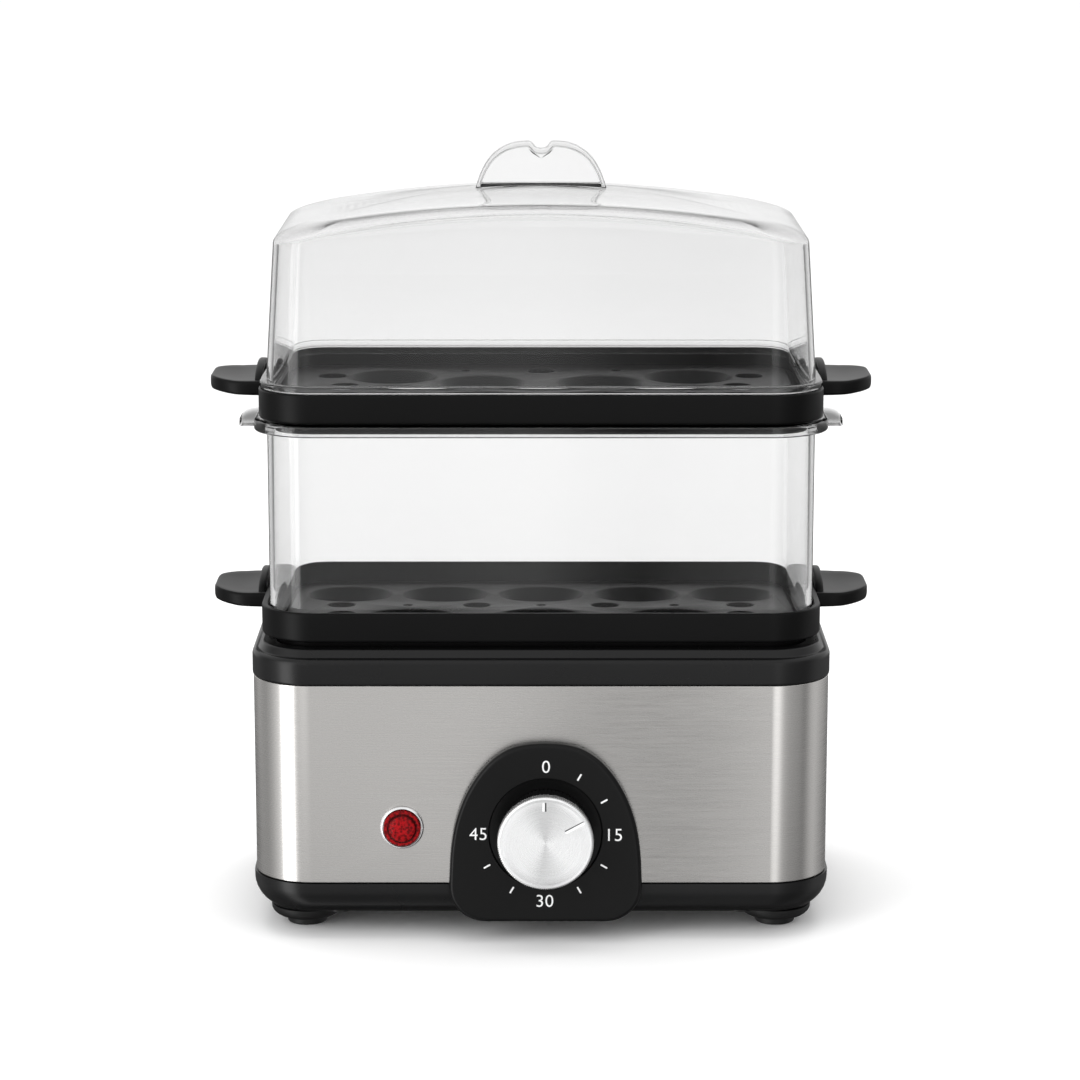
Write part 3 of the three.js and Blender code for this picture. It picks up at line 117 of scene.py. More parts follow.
# Closed skin over a grid of points. Columns always join up; rows join into a ring, or else the first
# and the last row are each closed by a fan round their middle.
def gridSkin(x, y, z, ring=False):
    x, y, z = np.broadcast_arrays(x, y, z)
    rows, columns = x.shape
    points = np.stack([x, y, z], axis=-1).reshape(-1, 3)
    row, column = np.arange(rows if ring else rows - 1)[:, None], np.arange(columns)[None, :]
    ahead, beside = (row + 1) % rows, (column + 1) % columns
    quads = np.stack([row * columns + column, row * columns + beside,
                      ahead * columns + beside, ahead * columns + column], axis=-1).reshape(-1, 4)
    fans = np.zeros((0, 3), int)
    if not ring:
        near, far, last = column[0], beside[0], (rows - 1) * columns
        middles = [points[:columns].mean(axis=0), points[-columns:].mean(axis=0)]
        fans = np.concatenate([
            np.stack([np.full(columns, rows * columns), far, near], axis=-1),
            np.stack([np.full(columns, rows * columns + 1), last + near, last + far], axis=-1)])
        points = np.concatenate([points, middles])
    return outward(points, quads, fans)


# A profile of [inset, height] points carried round a rounded rectangle.
def planSkin(plan, profile, ring=False, steps=16):
    profile = np.asarray(profile, float)
    x, y = outlineGrid(plan, profile[:, 0], steps=steps)
    return gridSkin(x, y, profile[:, 1:2], ring)


def fullTurn(count):
    return np.arange(count) * 2 * math.pi / count


# Rows round an axis: centre plus each row's reach in every direction times (cos, sin), at its place along.
def ringSkin(far, along, turn, centre, axis, ring=False):
    u, v, along = centre[0] + far * np.cos(turn), centre[1] + far * np.sin(turn), along + 0 * turn
    return gridSkin(u, v, along, ring) if axis == "z" else gridSkin(u, along, v, ring)


# A profile of [radius, place along] points turned about an axis.
def turnedSkin(profile, centre, axis="z", sides=48, ring=False):
    profile = np.asarray(profile, float)
    return ringSkin(profile[:, :1], profile[:, 1:2], fullTurn(sides), centre, axis, ring)


def pairs(a, b):
    return np.stack([a, b], axis=1)


def rodSkin(radius, low, high, spot, axis="z", sides=28):
    return turnedSkin([[radius, low], [radius, high]], spot, axis, sides)


# The same place in all four quarters.
def fourSpots(across, along):
    return [(sx * across, sy * along) for sx, sy, _ in corners]


# Several skins in one mesh, each kept whole.
def joinedSkins(skins):
    offset, points, quads, fans = 0, [], [], []
    for p, q, f in skins:
        points.append(p), quads.append(q + offset), fans.append(f + offset)
        offset += len(p)
    return np.concatenate(points), np.concatenate(quads), np.concatenate(fans)


def linked(name, data):
    obj = bpy.data.objects.new(name, data)
    scene.collection.objects.link(obj)
    return obj


def newObject(name, skin):
    points, quads, fans = skin
    mesh = bpy.data.meshes.new(name)
    mesh.from_pydata(((points + [0, midY, 0]) * mm).tolist(), [], quads.tolist() + fans.tolist())
    return linked(name, mesh)


def bakedMesh(obj):
    graph = bpy.context.evaluated_depsgraph_get()
    return bpy.data.meshes.new_from_object(obj.evaluated_get(graph), depsgraph=graph)


# Joins to the piece, or takes from it, each skin in turn, and bakes the result.
def combined(obj, operation, skins):
    for skin in skins:
        tool = newObject(obj.name + "_tool", skin)
        step = obj.modifiers.new("step", "BOOLEAN")
        step.operation, step.solver, step.object = operation, "MANIFOLD", tool
        baked = bakedMesh(obj)
        obj.modifiers.clear()
        stale, obj.data = obj.data, baked
        baked.name = obj.name
        bpy.data.meshes.remove(stale)
        spare = tool.data
        bpy.data.objects.remove(tool)
        bpy.data.meshes.remove(spare)


# Gives the piece its finish, soft shading with creases, its body and the nodes it stands for.
def placed(obj, finish, body, slot, *stands, crease=34):
    obj.data.materials.clear()
    obj.data.materials.append(materials[finish])
    obj.data.shade_smooth()
    obj.data.set_sharp_from_angle(angle=math.radians(crease))
    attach(obj, body)
    if stands:
        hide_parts(*stands)


# Node tools. A value that is a socket is linked, any other is set on the node's own socket.
def feed(tree, node, inputs):
    for name, value in inputs.items():
        if isinstance(value, bpy.types.NodeSocket):
            tree.links.new(value, node.inputs[name])
        else:
            node.inputs[name].default_value = value


def addNode(tree, kind, inputs=None, **settings):
    node = tree.nodes.new("ShaderNode" + kind)
    for name, value in settings.items():
        setattr(node, name, value)
    feed(tree, node, inputs or {})
    return node.outputs


def newGroup(name, inputs, outputs):
    group = bpy.data.node_groups.new(name, "ShaderNodeTree")
    for label, value in inputs.items():
        group.interface.new_socket(label, in_out="INPUT", socket_type="NodeSocketFloat").default_value = value
    for label in outputs:
        group.interface.new_socket(label, in_out="OUTPUT", socket_type="NodeSocketFloat")
    return group, group.nodes.new("NodeGroupInput").outputs, group.nodes.new("NodeGroupOutput")


def sums(tree, operation, *values):
    return addNode(tree, "Math", dict(enumerate(values)), operation=operation)[0]


def ranged(tree, value, least, most, low=0.0, high=1.0):
    return addNode(tree, "MapRange", {"Value": value, "From Min": least, "From Max": most,
                                      "To Min": low, "To Max": high})["Result"]


def mixed(tree, share, a, b):
    return addNode(tree, "Mix", {"Factor": share, "A": a, "B": b}, data_type="FLOAT")[0]


def colourMix(tree, share, a, b, blend="MIX"):
    return addNode(tree, "Mix", {"Factor": share, 6: a, 7: b}, data_type="RGBA", blend_type=blend)[2]


def noise(tree, place, scale, detail, rough=0.5):
    return addNode(tree, "TexNoise", {"Vector": place, "Scale": scale, "Detail": detail,
                                      "Roughness": rough})["Fac"]


def objectPlace(tree):
    return addNode(tree, "TexCoord")["Object"]


def bumped(tree, height, depth, strength=1.0):
    return addNode(tree, "Bump", {"Height": height, "Strength": strength, "Distance": depth * mm})[0]


# Noise lies mostly between these two values; spread stretches it from low to high.
noiseLow, noiseHigh = 0.3, 0.7


def spread(tree, value, low, high):
    return ranged(tree, value, noiseLow, noiseHigh, low, high)


# A colour that drifts between a darker and a lighter tone of itself.
def toned(tree, value, colour, swing):
    tones = [[min(1, c * (1 + way * swing)) for c in colour] + [1] for way in (-1, 1)]
    return colourMix(tree, spread(tree, value, 0.0, 1.0), *tones)


# Grey ramp of up to 32 stops, each a place and a tone from 0 to 1.
def greyRamp(tree, share, listed):
    node = tree.nodes.new("ShaderNodeValToRGB")
    stops = node.color_ramp.elements
    for i, (place, tone) in enumerate(listed):
        stop = stops[i] if i < 2 else stops.new(place)
        stop.position, stop.color = place, (tone,) * 3 + (1,)
    tree.links.new(share, node.inputs[0])
    return node.outputs[0]


# Direction round the object from the front in radians, left negative, and the height of a vector.
def compass(tree, vector):
    split = addNode(tree, "SeparateXYZ", {0: vector})
    return sums(tree, "ARCTAN2", split["X"], sums(tree, "MULTIPLY", split["Y"], -1.0)), split["Z"]


# Moulded surface: a fine grain as a height, and a slow drift of tone.
def mouldedGrainGroup():
    group, given, out = newGroup("mouldedGrain", {"Grain Scale": 2200.0, "Drift Scale": 18.0},
                                 ["Height", "Drift"])
    place = objectPlace(group)
    feed(group, out, {"Height": noise(group, place, given["Grain Scale"], 2.0, 0.6),
                      "Drift": noise(group, place, given["Drift Scale"], 4.0, 0.55)})
    return group


# Brush lines along X and Y: noise squeezed flat in Z, in long strokes and in short ones.
def brushLinesGroup():
    group, given, out = newGroup("brushLines", {"Line Scale": 3200.0, "Stroke Scale": 26.0}, ["Lines"])
    place, lines = objectPlace(group), 0.0
    for factor, detail, weight in ((1.0, 3.0, 0.6), (3.1, 2.0, 0.4)):
        along = sums(group, "MULTIPLY", given["Stroke Scale"], factor)
        across = sums(group, "MULTIPLY", given["Line Scale"], 1 / factor)
        stretch = addNode(group, "CombineXYZ", {"X": along, "Y": along, "Z": across})[0]
        spot = addNode(group, "VectorMath", {0: place, 1: stretch}, operation="MULTIPLY")[0]
        lines = sums(group, "MULTIPLY_ADD", noise(group, spot, 1.0, detail, 0.62), weight, lines)
    feed(group, out, {"Lines": lines})
    return group


# Turning marks: noise of the distance from an axis along Y at the given place across and up.
def turningMarksGroup():
    group, given, out = newGroup("turningMarks", {"Ring Scale": 3600.0, "Axis Across": 0.0,
                                                  "Axis Height": 0.0}, ["Rings", "Far"])
    split = addNode(group, "SeparateXYZ", {0: objectPlace(group)})
    side = sums(group, "SUBTRACT", split["X"], given["Axis Across"])
    rise = sums(group, "SUBTRACT", split["Z"], given["Axis Height"])
    far = sums(group, "SQRT", sums(group, "MULTIPLY_ADD", side, side, sums(group, "MULTIPLY", rise, rise)))
    turn = sums(group, "MULTIPLY", sums(group, "ARCTAN2", rise, side), 0.35)
    reach = sums(group, "MULTIPLY", far, given["Ring Scale"])
    spot = addNode(group, "CombineXYZ", {"X": reach, "Y": turn})[0]
    feed(group, out, {"Rings": noise(group, spot, 1.0, 2.0), "Far": far})
    return group


mouldedGrain, brushLines, turningMarks = mouldedGrainGroup(), brushLinesGroup(), turningMarksGroup()


def grained(tree, grain, drift=18.0):
    return addNode(tree, "Group", {"Grain Scale": grain, "Drift Scale": drift}, node_tree=mouldedGrain)


def marksRound(spot, scale):
    return {"Ring Scale": scale, "Axis Across": spot[0] * mm, "Axis Height": spot[1] * mm}


def newMaterial(name):
    material = bpy.data.materials.new(name)
    material.use_nodes = True
    tree = material.node_tree
    tree.nodes.clear()
    shader = tree.nodes.new("ShaderNodeBsdfPrincipled")
    output = tree.nodes.new("ShaderNodeOutputMaterial")
    tree.links.new(shader.outputs[0], output.inputs["Surface"])
    return material, tree, shader, output


# Plain finishes: colour, roughness and its swing, grain scale, bump depth in millimetres, gloss and metal.
finishes = {
    "blackPlastic": ((0.0045, 0.0045, 0.0047), 0.28, 0.03, 2600, 0.003, 0.27, 0),
    "trayPlastic": ((0.0026, 0.0026, 0.0027), 0.36, 0.03, 2400, 0.0005, 0.11, 0),
    "panelPlastic": ((0.0036, 0.0036, 0.0037), 0.3, 0.03, 2200, 0.002, 0.17, 0),
    "platedSteel": ((0.58, 0.59, 0.6), 0.36, 0.08, 900, 0.01, 0.5, 1),
    "coatedPlate": ((0.06, 0.06, 0.063), 0.42, 0.06, 1500, 0.02, 0.5, 0),
    "heaterSheath": ((0.3, 0.28, 0.26), 0.48, 0.1, 700, 0.02, 0.5, 1),
    "silicone": ((0.3, 0.31, 0.32), 0.62, 0.06, 1800, 0.01, 0.4, 0),
    "blackRubber": ((0.006, 0.006, 0.006), 0.5, 0.05, 1500, 0.02, 0.25, 0),
    "bezelMetal": ((0.78, 0.78, 0.79), 0.16, 0.05, 1500, 0.004, 0.5, 1),
    "brass": ((0.7, 0.49, 0.2), 0.32, 0.08, 1100, 0.01, 0.5, 1),
    "nylon": ((0.72, 0.7, 0.64), 0.48, 0.06, 1400, 0.01, 0.4, 0),
    "bakelite": ((0.045, 0.024, 0.015), 0.4, 0.08, 1200, 0.015, 0.45, 0),
    "ivoryPlastic": ((0.78, 0.73, 0.61), 0.45, 0.06, 1500, 0.01, 0.4, 0),
    "brownWire": ((0.12, 0.045, 0.02), 0.45, 0.06, 1600, 0.01, 0.4, 0),
    "blueWire": ((0.02, 0.06, 0.25), 0.45, 0.06, 1600, 0.01, 0.4, 0),
    # White print of the dial; the same finish gives the painted highlights on the knob's cap.
    "dialPrintAndHighlight": ((0.82, 0.82, 0.82), 0.5, 0.04, 2400, 0.004, 0.3, 0),
    "lineShadow": ((0.05, 0.05, 0.052), 0.35, 0.05, 2400, 0.004, 0.4, 0),
}
toneSwing = 0.12


def plainFinish(name, colour, rough, swing, grain, depth, gloss, metal):
    material, tree, shader, output = newMaterial(name)
    height, drift = grained(tree, grain)
    feed(tree, shader, {
        "Base Color": toned(tree, drift, colour, toneSwing), "Metallic": metal, "Specular IOR Level": gloss,
        "Roughness": spread(tree, drift, rough - swing, rough + swing),
        "Normal": bumped(tree, height, depth)})
    return material


# Clear moulding: faint flow waves in the surface and a light grey body colour inside.
def clearFinish(name, look):
    material, tree, shader, output = newMaterial(name)
    waves = noise(tree, objectPlace(tree), look["waveScale"], 1.0)
    drift = grained(tree, 900.0, 25.0)["Drift"]
    feed(tree, shader, {
        "Base Color": look["tint"] + (1,), "Transmission Weight": 1.0, "IOR": look["ior"],
        "Roughness": spread(tree, drift, look["rough"] * 0.6, look["rough"] * 1.4),
        "Normal": bumped(tree, waves, look["waveDepth"])})
    inside = addNode(tree, "VolumeAbsorption", {"Color": look["body"] + (1,), "Density": look["density"]})[0]
    through = addNode(tree, "BsdfTransparent", {"Color": look["shade"] + (1,)})[0]
    shadow = addNode(tree, "LightPath")["Is Shadow Ray"]
    both = addNode(tree, "MixShader", {0: shadow, 1: shader.outputs[0], 2: through})[0]
    feed(tree, output, {"Volume": inside, "Surface": both})
    return material


# Drawn metal: gloss stretched across its marks, the first output of the group, which run round the axis.
def drawnFinish(name, look, group, scales, axis):
    material, tree, shader, output = newMaterial(name)
    marks = addNode(tree, "Group", scales, node_tree=group)[0]
    rough, swing = look["rough"], look["roughSwing"]
    feed(tree, shader, {
        "Base Color": toned(tree, marks, look["colour"], look["swing"]), "Metallic": 1.0,
        "Anisotropic": look["stretch"], "Anisotropic Rotation": 0.25,
        "Roughness": spread(tree, marks, rough - swing, rough + swing),
        "Tangent": addNode(tree, "Tangent", direction_type="RADIAL", axis=axis)[0],
        "Normal": bumped(tree, marks, look["bump"])})
    return material


# Red lens: small prisms moulded in its back show as cells. Its colour is darkened in a ring round the dome's
# foot and
# a little at the rim: painted shade. The ring's stops are shares of the radius, each with its tone.
def lensFinish(name, look):
    material, tree, shader, output = newMaterial(name)
    place = objectPlace(tree)
    cells = addNode(tree, "TexVoronoi", {"Vector": place, "Scale": look["prismScale"]})["Distance"]
    far = addNode(tree, "Group", marksRound(lampSpot, 900.0), node_tree=turningMarks)["Far"]
    # Painted shade: the ring darkens the red round the dome's foot and at the rim.
    ring = greyRamp(tree, sums(tree, "DIVIDE", far, look["radius"] * mm), look["ring"])
    red = toned(tree, cells, look["colour"], look["swing"])
    feed(tree, shader, {
        "Base Color": colourMix(tree, 1.0, red, ring, "MULTIPLY"), "Specular IOR Level": 0.08,
        "Coat Weight": 0.05, "Coat Roughness": 0.05, "Roughness": spread(tree, cells, 0.3, 0.45),
        "Normal": bumped(tree, cells, look["bump"], 0.6)})
    return material


clearLook = dict(ior=1.49, tint=(1.0, 1.0, 1.0), body=(0.5, 0.5, 0.5), density=80.0, shade=(0.94, 0.94, 0.94),
                 rough=0.012, waveScale=30.0, waveDepth=0.02)
steelLook = dict(colour=(0.61, 0.596, 0.58), rough=0.27, roughSwing=0.05, stretch=0.95, swing=0.03,
                 bump=0.0015)
capLook = dict(colour=(0.95, 0.953, 0.956), rough=0.28, roughSwing=0.04, stretch=0.9, swing=0.04, bump=0.0015)
# The lens's ring stops darken its colour round the dome's foot and at the rim: painted shade.
lensLook = dict(colour=(0.24, 0.002, 0.004), swing=0.5, prismScale=900.0, radius=7.2, bump=0.25,
                ring=[(0.0, 1.0), (0.66, 0.8), (0.73, 0.16), (0.8, 0.3), (0.86, 0.9), (1.0, 0.6)])

materials = {name: plainFinish(name, *look) for name, look in finishes.items()}
clearChanges = {"clearPlastic": {}, "clearEar": dict(ior=1.004, density=170.0),
                "neonGlass": dict(tint=(1.0, 0.8, 0.66), density=8.0, rough=0.05, waveScale=300.0)}
for name, change in clearChanges.items():
    materials[name] = clearFinish(name, dict(clearLook, **change))
materials["brushedSteel"] = drawnFinish("brushedSteel", steelLook, brushLines,
                                        {"Line Scale": 5200.0, "Stroke Scale": 24.0}, "Z")
materials["spunAluminium"] = drawnFinish("spunAluminium", capLook, turningMarks,
                                         marksRound(dialSpot, 6500.0), "Y")
materials["redLens"] = lensFinish("redLens", lensLook)
print("materials made:", len(materials))


# Lid. Rows run from the middle of the crown out over the shoulder, down the wall, round the flange and
# the skirt, and back inside. The shoulder goes in by 1 - cos(a)^0.6 and up by sin(a)^0.6 over a quarter
# turn; the crown rises by ((1 - x^2)(1 - y^2))^1.5 more, x and y as shares of its half width and half
# depth. A bow lowers both with the square of the way across. The inside follows the outside's normals.
lidSizes = dict(lineInset=3.1, draft=3.2, wall=2.2, skirtFoot=210.0, flangeFoot=213.0, flangeTop=215.6,
                flangeInset=0.5, wallFoot=216.2, shoulderFoot=266.7, shoulderIn=18.5, shoulderUp=15.8,
                shoulderPower=0.6, crownRise=3.2, crownPower=1.5, bow=11.5, turnIn=1.5, cornerSteps=20,
                shoulderSteps=26, crownSteps=26, wallSteps=8, firstShare=0.03)


def lidSkin(s):
    steps, line, wallFoot, shoulder = s["cornerSteps"], s["lineInset"], s["wallFoot"], s["shoulderFoot"]
    lean = line + s["draft"]
    share = np.linspace(s["firstShare"], 1, s["crownSteps"], endpoint=False)
    turn = np.linspace(math.pi / 2, 0, s["shoulderSteps"])
    goesIn = 1 - np.cos(turn).clip(0) ** s["shoulderPower"]
    goesUp = np.sin(turn).clip(0) ** s["shoulderPower"]
    down = np.linspace(1, 0, s["wallSteps"])[1:]
    inset = np.concatenate([np.full_like(share, lean + s["shoulderIn"]), lean + goesIn * s["shoulderIn"],
                            line + s["draft"] * down])
    height = np.concatenate([shoulder + s["shoulderUp"] + 0 * share, shoulder + goesUp * s["shoulderUp"],
                             wallFoot + down * (shoulder - wallFoot)])
    shares = np.concatenate([share, np.ones(len(inset) - len(share))])
    lift = np.concatenate([1 + 0 * share, goesUp, 0 * down])[:, None]
    x, y = (sideColumns(grid, steps) for grid in outlineGrid(lidPlan, inset, shares, steps=steps))
    rimX, rimY = np.abs(x[len(share)]).max(), np.abs(y[len(share)]).max()
    arch = ((1 - (x / rimX) ** 2).clip(0) * (1 - (y / rimY) ** 2).clip(0)) ** s["crownPower"]
    z = height[:, None] + lift * (s["crownRise"] * arch - s["bow"] * (x / lidPlan["halfWidth"]) ** 2)
    outer = np.stack([x, y, z], axis=-1)
    along = np.gradient(outer, axis=0)
    around = np.roll(outer, -1, axis=1) - np.roll(outer, 1, axis=1)
    normal = np.cross(along, around)
    normal *= np.sign(normal[0, 0, 2]) / np.linalg.norm(normal, axis=-1, keepdims=True)
    inner = (outer - s["wall"] * normal)[::-1]
    inside, edge, skirt = line + s["wall"], s["flangeInset"], s["skirtFoot"]
    top, low = s["flangeTop"], s["flangeFoot"]
    foot = softLine([[line, top + 0.4], [line, top], [edge, top], [edge, low], [line, low], [line, skirt],
                     [inside, skirt], [inside, skirt + s["turnIn"]]],
                    [0.1, 0.5, 0.9, 0.7, 0.3, 0.5, 0.5, 0.3])
    footX, footY = (sideColumns(grid, steps) for grid in outlineGrid(lidPlan, foot[:, 0], steps=steps))
    foot = np.stack([footX, footY, foot[:, 1:2] + 0 * footX], axis=-1)
    whole = np.concatenate([outer, foot, inner])
    return gridSkin(whole[..., 0], whole[..., 1], whole[..., 2])


# Half-moon grip: rows carry one outline from the middle of the front web over the rim to the back one.
# The outline is drawn in by the row's inset and stands at the row's Y.
gripSizes = dict(halfWidth=25.7, foot=284.0, top=302.8, thickness=5.0, web=2.6, rim=2.2, notchHalf=3.9,
                 notchDepth=2.8)


def gripSkin(s):
    half, web, rim = s["thickness"] / 2, s["web"] / 2, s["rim"]
    arc = np.array([[1, 0], [0.93, 0.3], [0.84, 0.55], [0.73, 0.74], [0.58, 0.89], [0.41, 0.98], [0.25, 1]])
    profile = softLine([[rim + 0.7, -web], [rim, -web], [rim - 0.5, -half], [0, -half], [0, half],
                        [rim - 0.5, half], [rim, web], [rim + 0.7, web]],
                       [0.1, 0.5, 0.5, 1.0, 1.0, 0.5, 0.5, 0.1], steps=5)
    rowsX, rowsZ = [], []
    for inset in profile[:, 0]:
        height = s["top"] - s["foot"] - 2 * inset
        side = arc * [s["halfWidth"] - inset, height]
        notch, drop = s["notchHalf"] + 0.4 * inset, s["notchDepth"]
        right = np.concatenate([side, [[notch, height], [notch * 0.5, height - drop]]])
        line = np.concatenate([right, (right * [-1, 1])[::-1]])
        reach = [1.0] + [9.0] * 6 + [2.2] * 4 + [9.0] * 6 + [1.0]
        curve = softened(line, reach, steps=7)
        rowsX.append(curve[:, 0]), rowsZ.append(curve[:, 1] + s["foot"] + inset)
    return gridSkin(np.array(rowsX), profile[:, 1:2], np.array(rowsZ))


lid = newObject("lidShell", lidSkin(lidSizes))
combined(lid, "UNION", [gripSkin(gripSizes)])
placed(lid, "clearPlastic", "lid", "clear_plastic", "lid", crease=28)
print("lid made")


# Flat paddle: sections along its reach, each a rounded rectangle whose width narrows round the tip's
# corners and whose top and bottom follow the two given lines and close in at the tip's edge. Reach counts
# from the tray's side and the lines from its top, each at the root, the waist and the tip.
paddleSizes = dict(reach=(-1.2, 10.8, 21.6), topLine=(-1.2, -1.3, -0.4), lowLine=(-7.0, -6.7, -5.6),
                   corner=16.0, edge=1.3, halfDepth=22.0, dish=0.9, edgeShare=0.46)


def paddleSkin(side, trayTop, s):
    reach = [trayPlan["halfWidth"] + out for out in s["reach"]]
    root, tip, corner, edge = reach[0], reach[-1], s["corner"], s["edge"]
    turn = np.linspace(0, math.pi / 2, 14)
    straight = np.linspace(root, tip - corner, 12, endpoint=False)
    along = np.concatenate([straight, tip - corner + corner * np.sin(turn)])
    width = np.concatenate([0 * straight, corner * np.cos(turn) - corner]) + s["halfDepth"]
    near = np.clip(along - (tip - edge), 0, edge)
    close = edge - np.sqrt(np.maximum(edge ** 2 - near ** 2, 0))
    top = trayTop + np.interp(along, reach, s["topLine"]) - close
    low = trayTop + np.interp(along, reach, s["lowLine"]) + close
    way = np.clip((along - root) / (tip - root), 0, 1)
    sink = 4 * s["dish"] * way * (1 - way)
    radius = np.minimum(edge, (top - low) * s["edgeShare"])[:, None]
    quarter = np.linspace(0, math.pi / 2, 7)
    wide, y, z = width[:, None] - radius, [], []
    for a, (sideY, sideZ) in enumerate([(1, 1), (-1, 1), (-1, -1), (1, -1)]):
        swing = quarter + a * math.pi / 2
        y.append(sideY * wide + radius * np.cos(swing))
        middle = top[:, None] - radius if sideZ > 0 else low[:, None] + radius
        z.append(middle + radius * np.sin(swing))
        if a == 0:  # the top face, dished between its edges
            share = np.linspace(1, -1, 11)[1:-1]
            y.append(wide * share)
            z.append(top[:, None] - sink[:, None] * (1 - share ** 2))
    return gridSkin(side * along[:, None], np.concatenate(y, axis=1), np.concatenate(z, axis=1))


# Low fin: a half ellipse in Y and Z, with its edge rounded, drawn along X.
finSizes = dict(thickness=3.4, edge=1.0, halfLength=21.0, drop=5.0, rise=9.4, out=1.7)


def finSkin(side, trayTop, s):
    half, edge = s["thickness"] / 2, s["edge"]
    lean = np.linspace(-math.pi / 2, math.pi / 2, 7)
    across = np.concatenate([-half + edge + edge * np.sin(lean[:4]), half - edge + edge * np.sin(lean[3:])])
    inset = edge - edge * np.cos(np.concatenate([lean[:4], lean[3:]]))
    turn = np.linspace(0, math.pi, 41)
    y = (s["halfLength"] - inset)[:, None] * np.cos(turn)
    z = trayTop - s["drop"] + (s["rise"] - inset)[:, None] * np.sin(turn)
    return gridSkin((side * (trayPlan["halfWidth"] + s["out"] + across))[:, None], y, z)


# Tray: outer wall, channel, raised floor with seats, skirt, handles and fins. Seats and holes stand at
# shares of the floor's half width and half depth.
traySizes = dict(rim=2.4, rimRise=11.6, channelRise=3.6, floorRise=4.6, floorInset=5.9, skirtInset=5.7,
                 skirtDrop=3.9, skirtWall=2.0, floorSheet=2.0, seatHole=12.6, seatMouth=17.6, seatDepth=5.4,
                 seatWall=1.5, seatBreak=0.35, steamHole=5.6, tinyHole=1.9, holeBreak=0.3)
traySeats = {
    "lower_tray": dict(
        foot=116.8,
        seats=[[-.76, .46], [-.38, .46], [0, .46], [.38, .46], [.76, .46], [-.5, -.44], [0, -.44],
               [.5, -.44]],
        steam=[[-.78, .02], [.78, .02], [-.77, -.34], [.77, -.34], [-.25, .01], [.25, .01]],
        tiny=[[-.52, .01], [.52, .01], [0, .01], [-.25, -.62], [.25, -.62]]),
    "upper_tray": dict(
        foot=201.1,
        seats=[[-.58, .46], [.58, .46], [-.23, .2], [.23, .2], [-.47, -.56], [0, -.6], [.47, -.56]],
        steam=[[-.82, .5], [.82, .5], [-.76, .08], [.76, .08], [-.76, -.36], [.76, -.36], [0, .72]],
        tiny=[[-.58, .02], [.58, .02], [-.3, .74], [.3, .74], [-.24, -.34], [.24, -.34]]),
}


def makeTray(node, layout, s):
    foot, line, rim, skirt = layout["foot"], s["floorInset"], s["rim"], s["skirtInset"]
    top, floor, channel = (foot + s[rise] for rise in ("rimRise", "floorRise", "channelRise"))
    low, under = floor - s["seatDepth"], floor - s["floorSheet"]
    skirtFoot, inside = foot - s["skirtDrop"], skirt + s["skirtWall"]
    profile = softLine([[line + 1.2, floor], [line + 1, floor], [line, channel], [rim, channel], [rim, top],
                        [0, top], [0, foot], [skirt, foot], [skirt, skirtFoot], [inside, skirtFoot],
                        [inside, under], [inside + 0.2, under]],
                       [0.1, 0.5, 0.4, 0.6, 0.6, 0.8, 1.5, 0.6, 0.8, 0.5, 0.5, 0.1])
    tray = newObject(node + "_moulding", planSkin(trayPlan, profile, steps=20))
    halfX, halfY = trayPlan["halfWidth"] - line, trayPlan["halfDepth"] - line
    spots = {kind: [(x * halfX, y * halfY) for x, y in layout[kind]] for kind in ("seats", "steam", "tiny")}
    hole, mouth, wall, edge = s["seatHole"], s["seatMouth"], s["seatWall"], s["seatBreak"]
    added = [turnedSkin([[hole + wall, low], [mouth + wall, floor - 1]], spot) for spot in spots["seats"]]
    for side in (1, -1):
        added += [paddleSkin(side, top, paddleSizes), finSkin(side, top, finSizes)]
    combined(tray, "UNION", added)
    lean = (mouth - hole) / s["seatDepth"]
    well = [[hole, low - overrun], [hole, low], [mouth - edge * lean, floor - edge],
            [mouth + edge, floor + skim], [mouth + edge + 0.05, floor + overrun]]
    cutters = [turnedSkin(well, spot) for spot in spots["seats"]]
    for kind, radius, sides in (("steam", s["steamHole"], 32), ("tiny", s["tinyHole"], 20)):
        wide = radius + s["holeBreak"]
        drop = [[radius, under - overrun], [radius, floor - s["holeBreak"]], [wide, floor + skim],
                [wide, floor + overrun]]
        cutters += [turnedSkin(drop, spot, sides=sides) for spot in spots[kind]]
    combined(tray, "DIFFERENCE", [joinedSkins(cutters[i::2]) for i in range(2)])
    placed(tray, "trayPlastic", node, "black_plastic", node, crease=30)


for node, layout in traySeats.items():
    makeTray(node, layout, traySizes)
print("trays made")

# Clear chamber: plain wall with a flange at the top and an ear at each end.
chamberSizes = dict(inset=3.1, wall=2.2, foot=120.7, flangeFoot=196.6, top=200.8, flangeOut=1.9)
earSizes = dict(root=110.05, tip=116.0, front=-38.0, back=-11.0, across=4.6, along=15.0, top=199.9, low=196.7,
                edge=0.5)


# An ear's sections along Y: a slab whose outer end draws in to the back by a quarter ellipse.
def earSkin(side, s):
    turn = np.linspace(0, math.pi / 2, 16)
    y = np.concatenate([s["front"] + np.array([0, 0.12, 0.4]), s["back"] - s["along"] * (1 - np.sin(turn))])
    reach = np.concatenate([[s["tip"]] * 3, s["tip"] - s["across"] * (1 - np.cos(turn))])
    shrink = np.zeros_like(y)
    shrink[:3], shrink[-1] = (0.4, 0.12, 0), 0.3
    swing, r = np.linspace(0, math.pi / 2, 5), s["edge"]
    end, top, low = (v[:, None] for v in (reach - shrink - r, s["top"] - shrink - r, s["low"] + shrink + r))
    x = np.concatenate([s["root"] + 0 * end, end + r * np.sin(swing), end + r * np.cos(swing),
                        s["root"] + 0 * end], axis=1)
    z = np.concatenate([top + r, top + r * np.cos(swing), low - r * np.sin(swing), low - r], axis=1)
    return gridSkin(side * x, y[:, None], z)


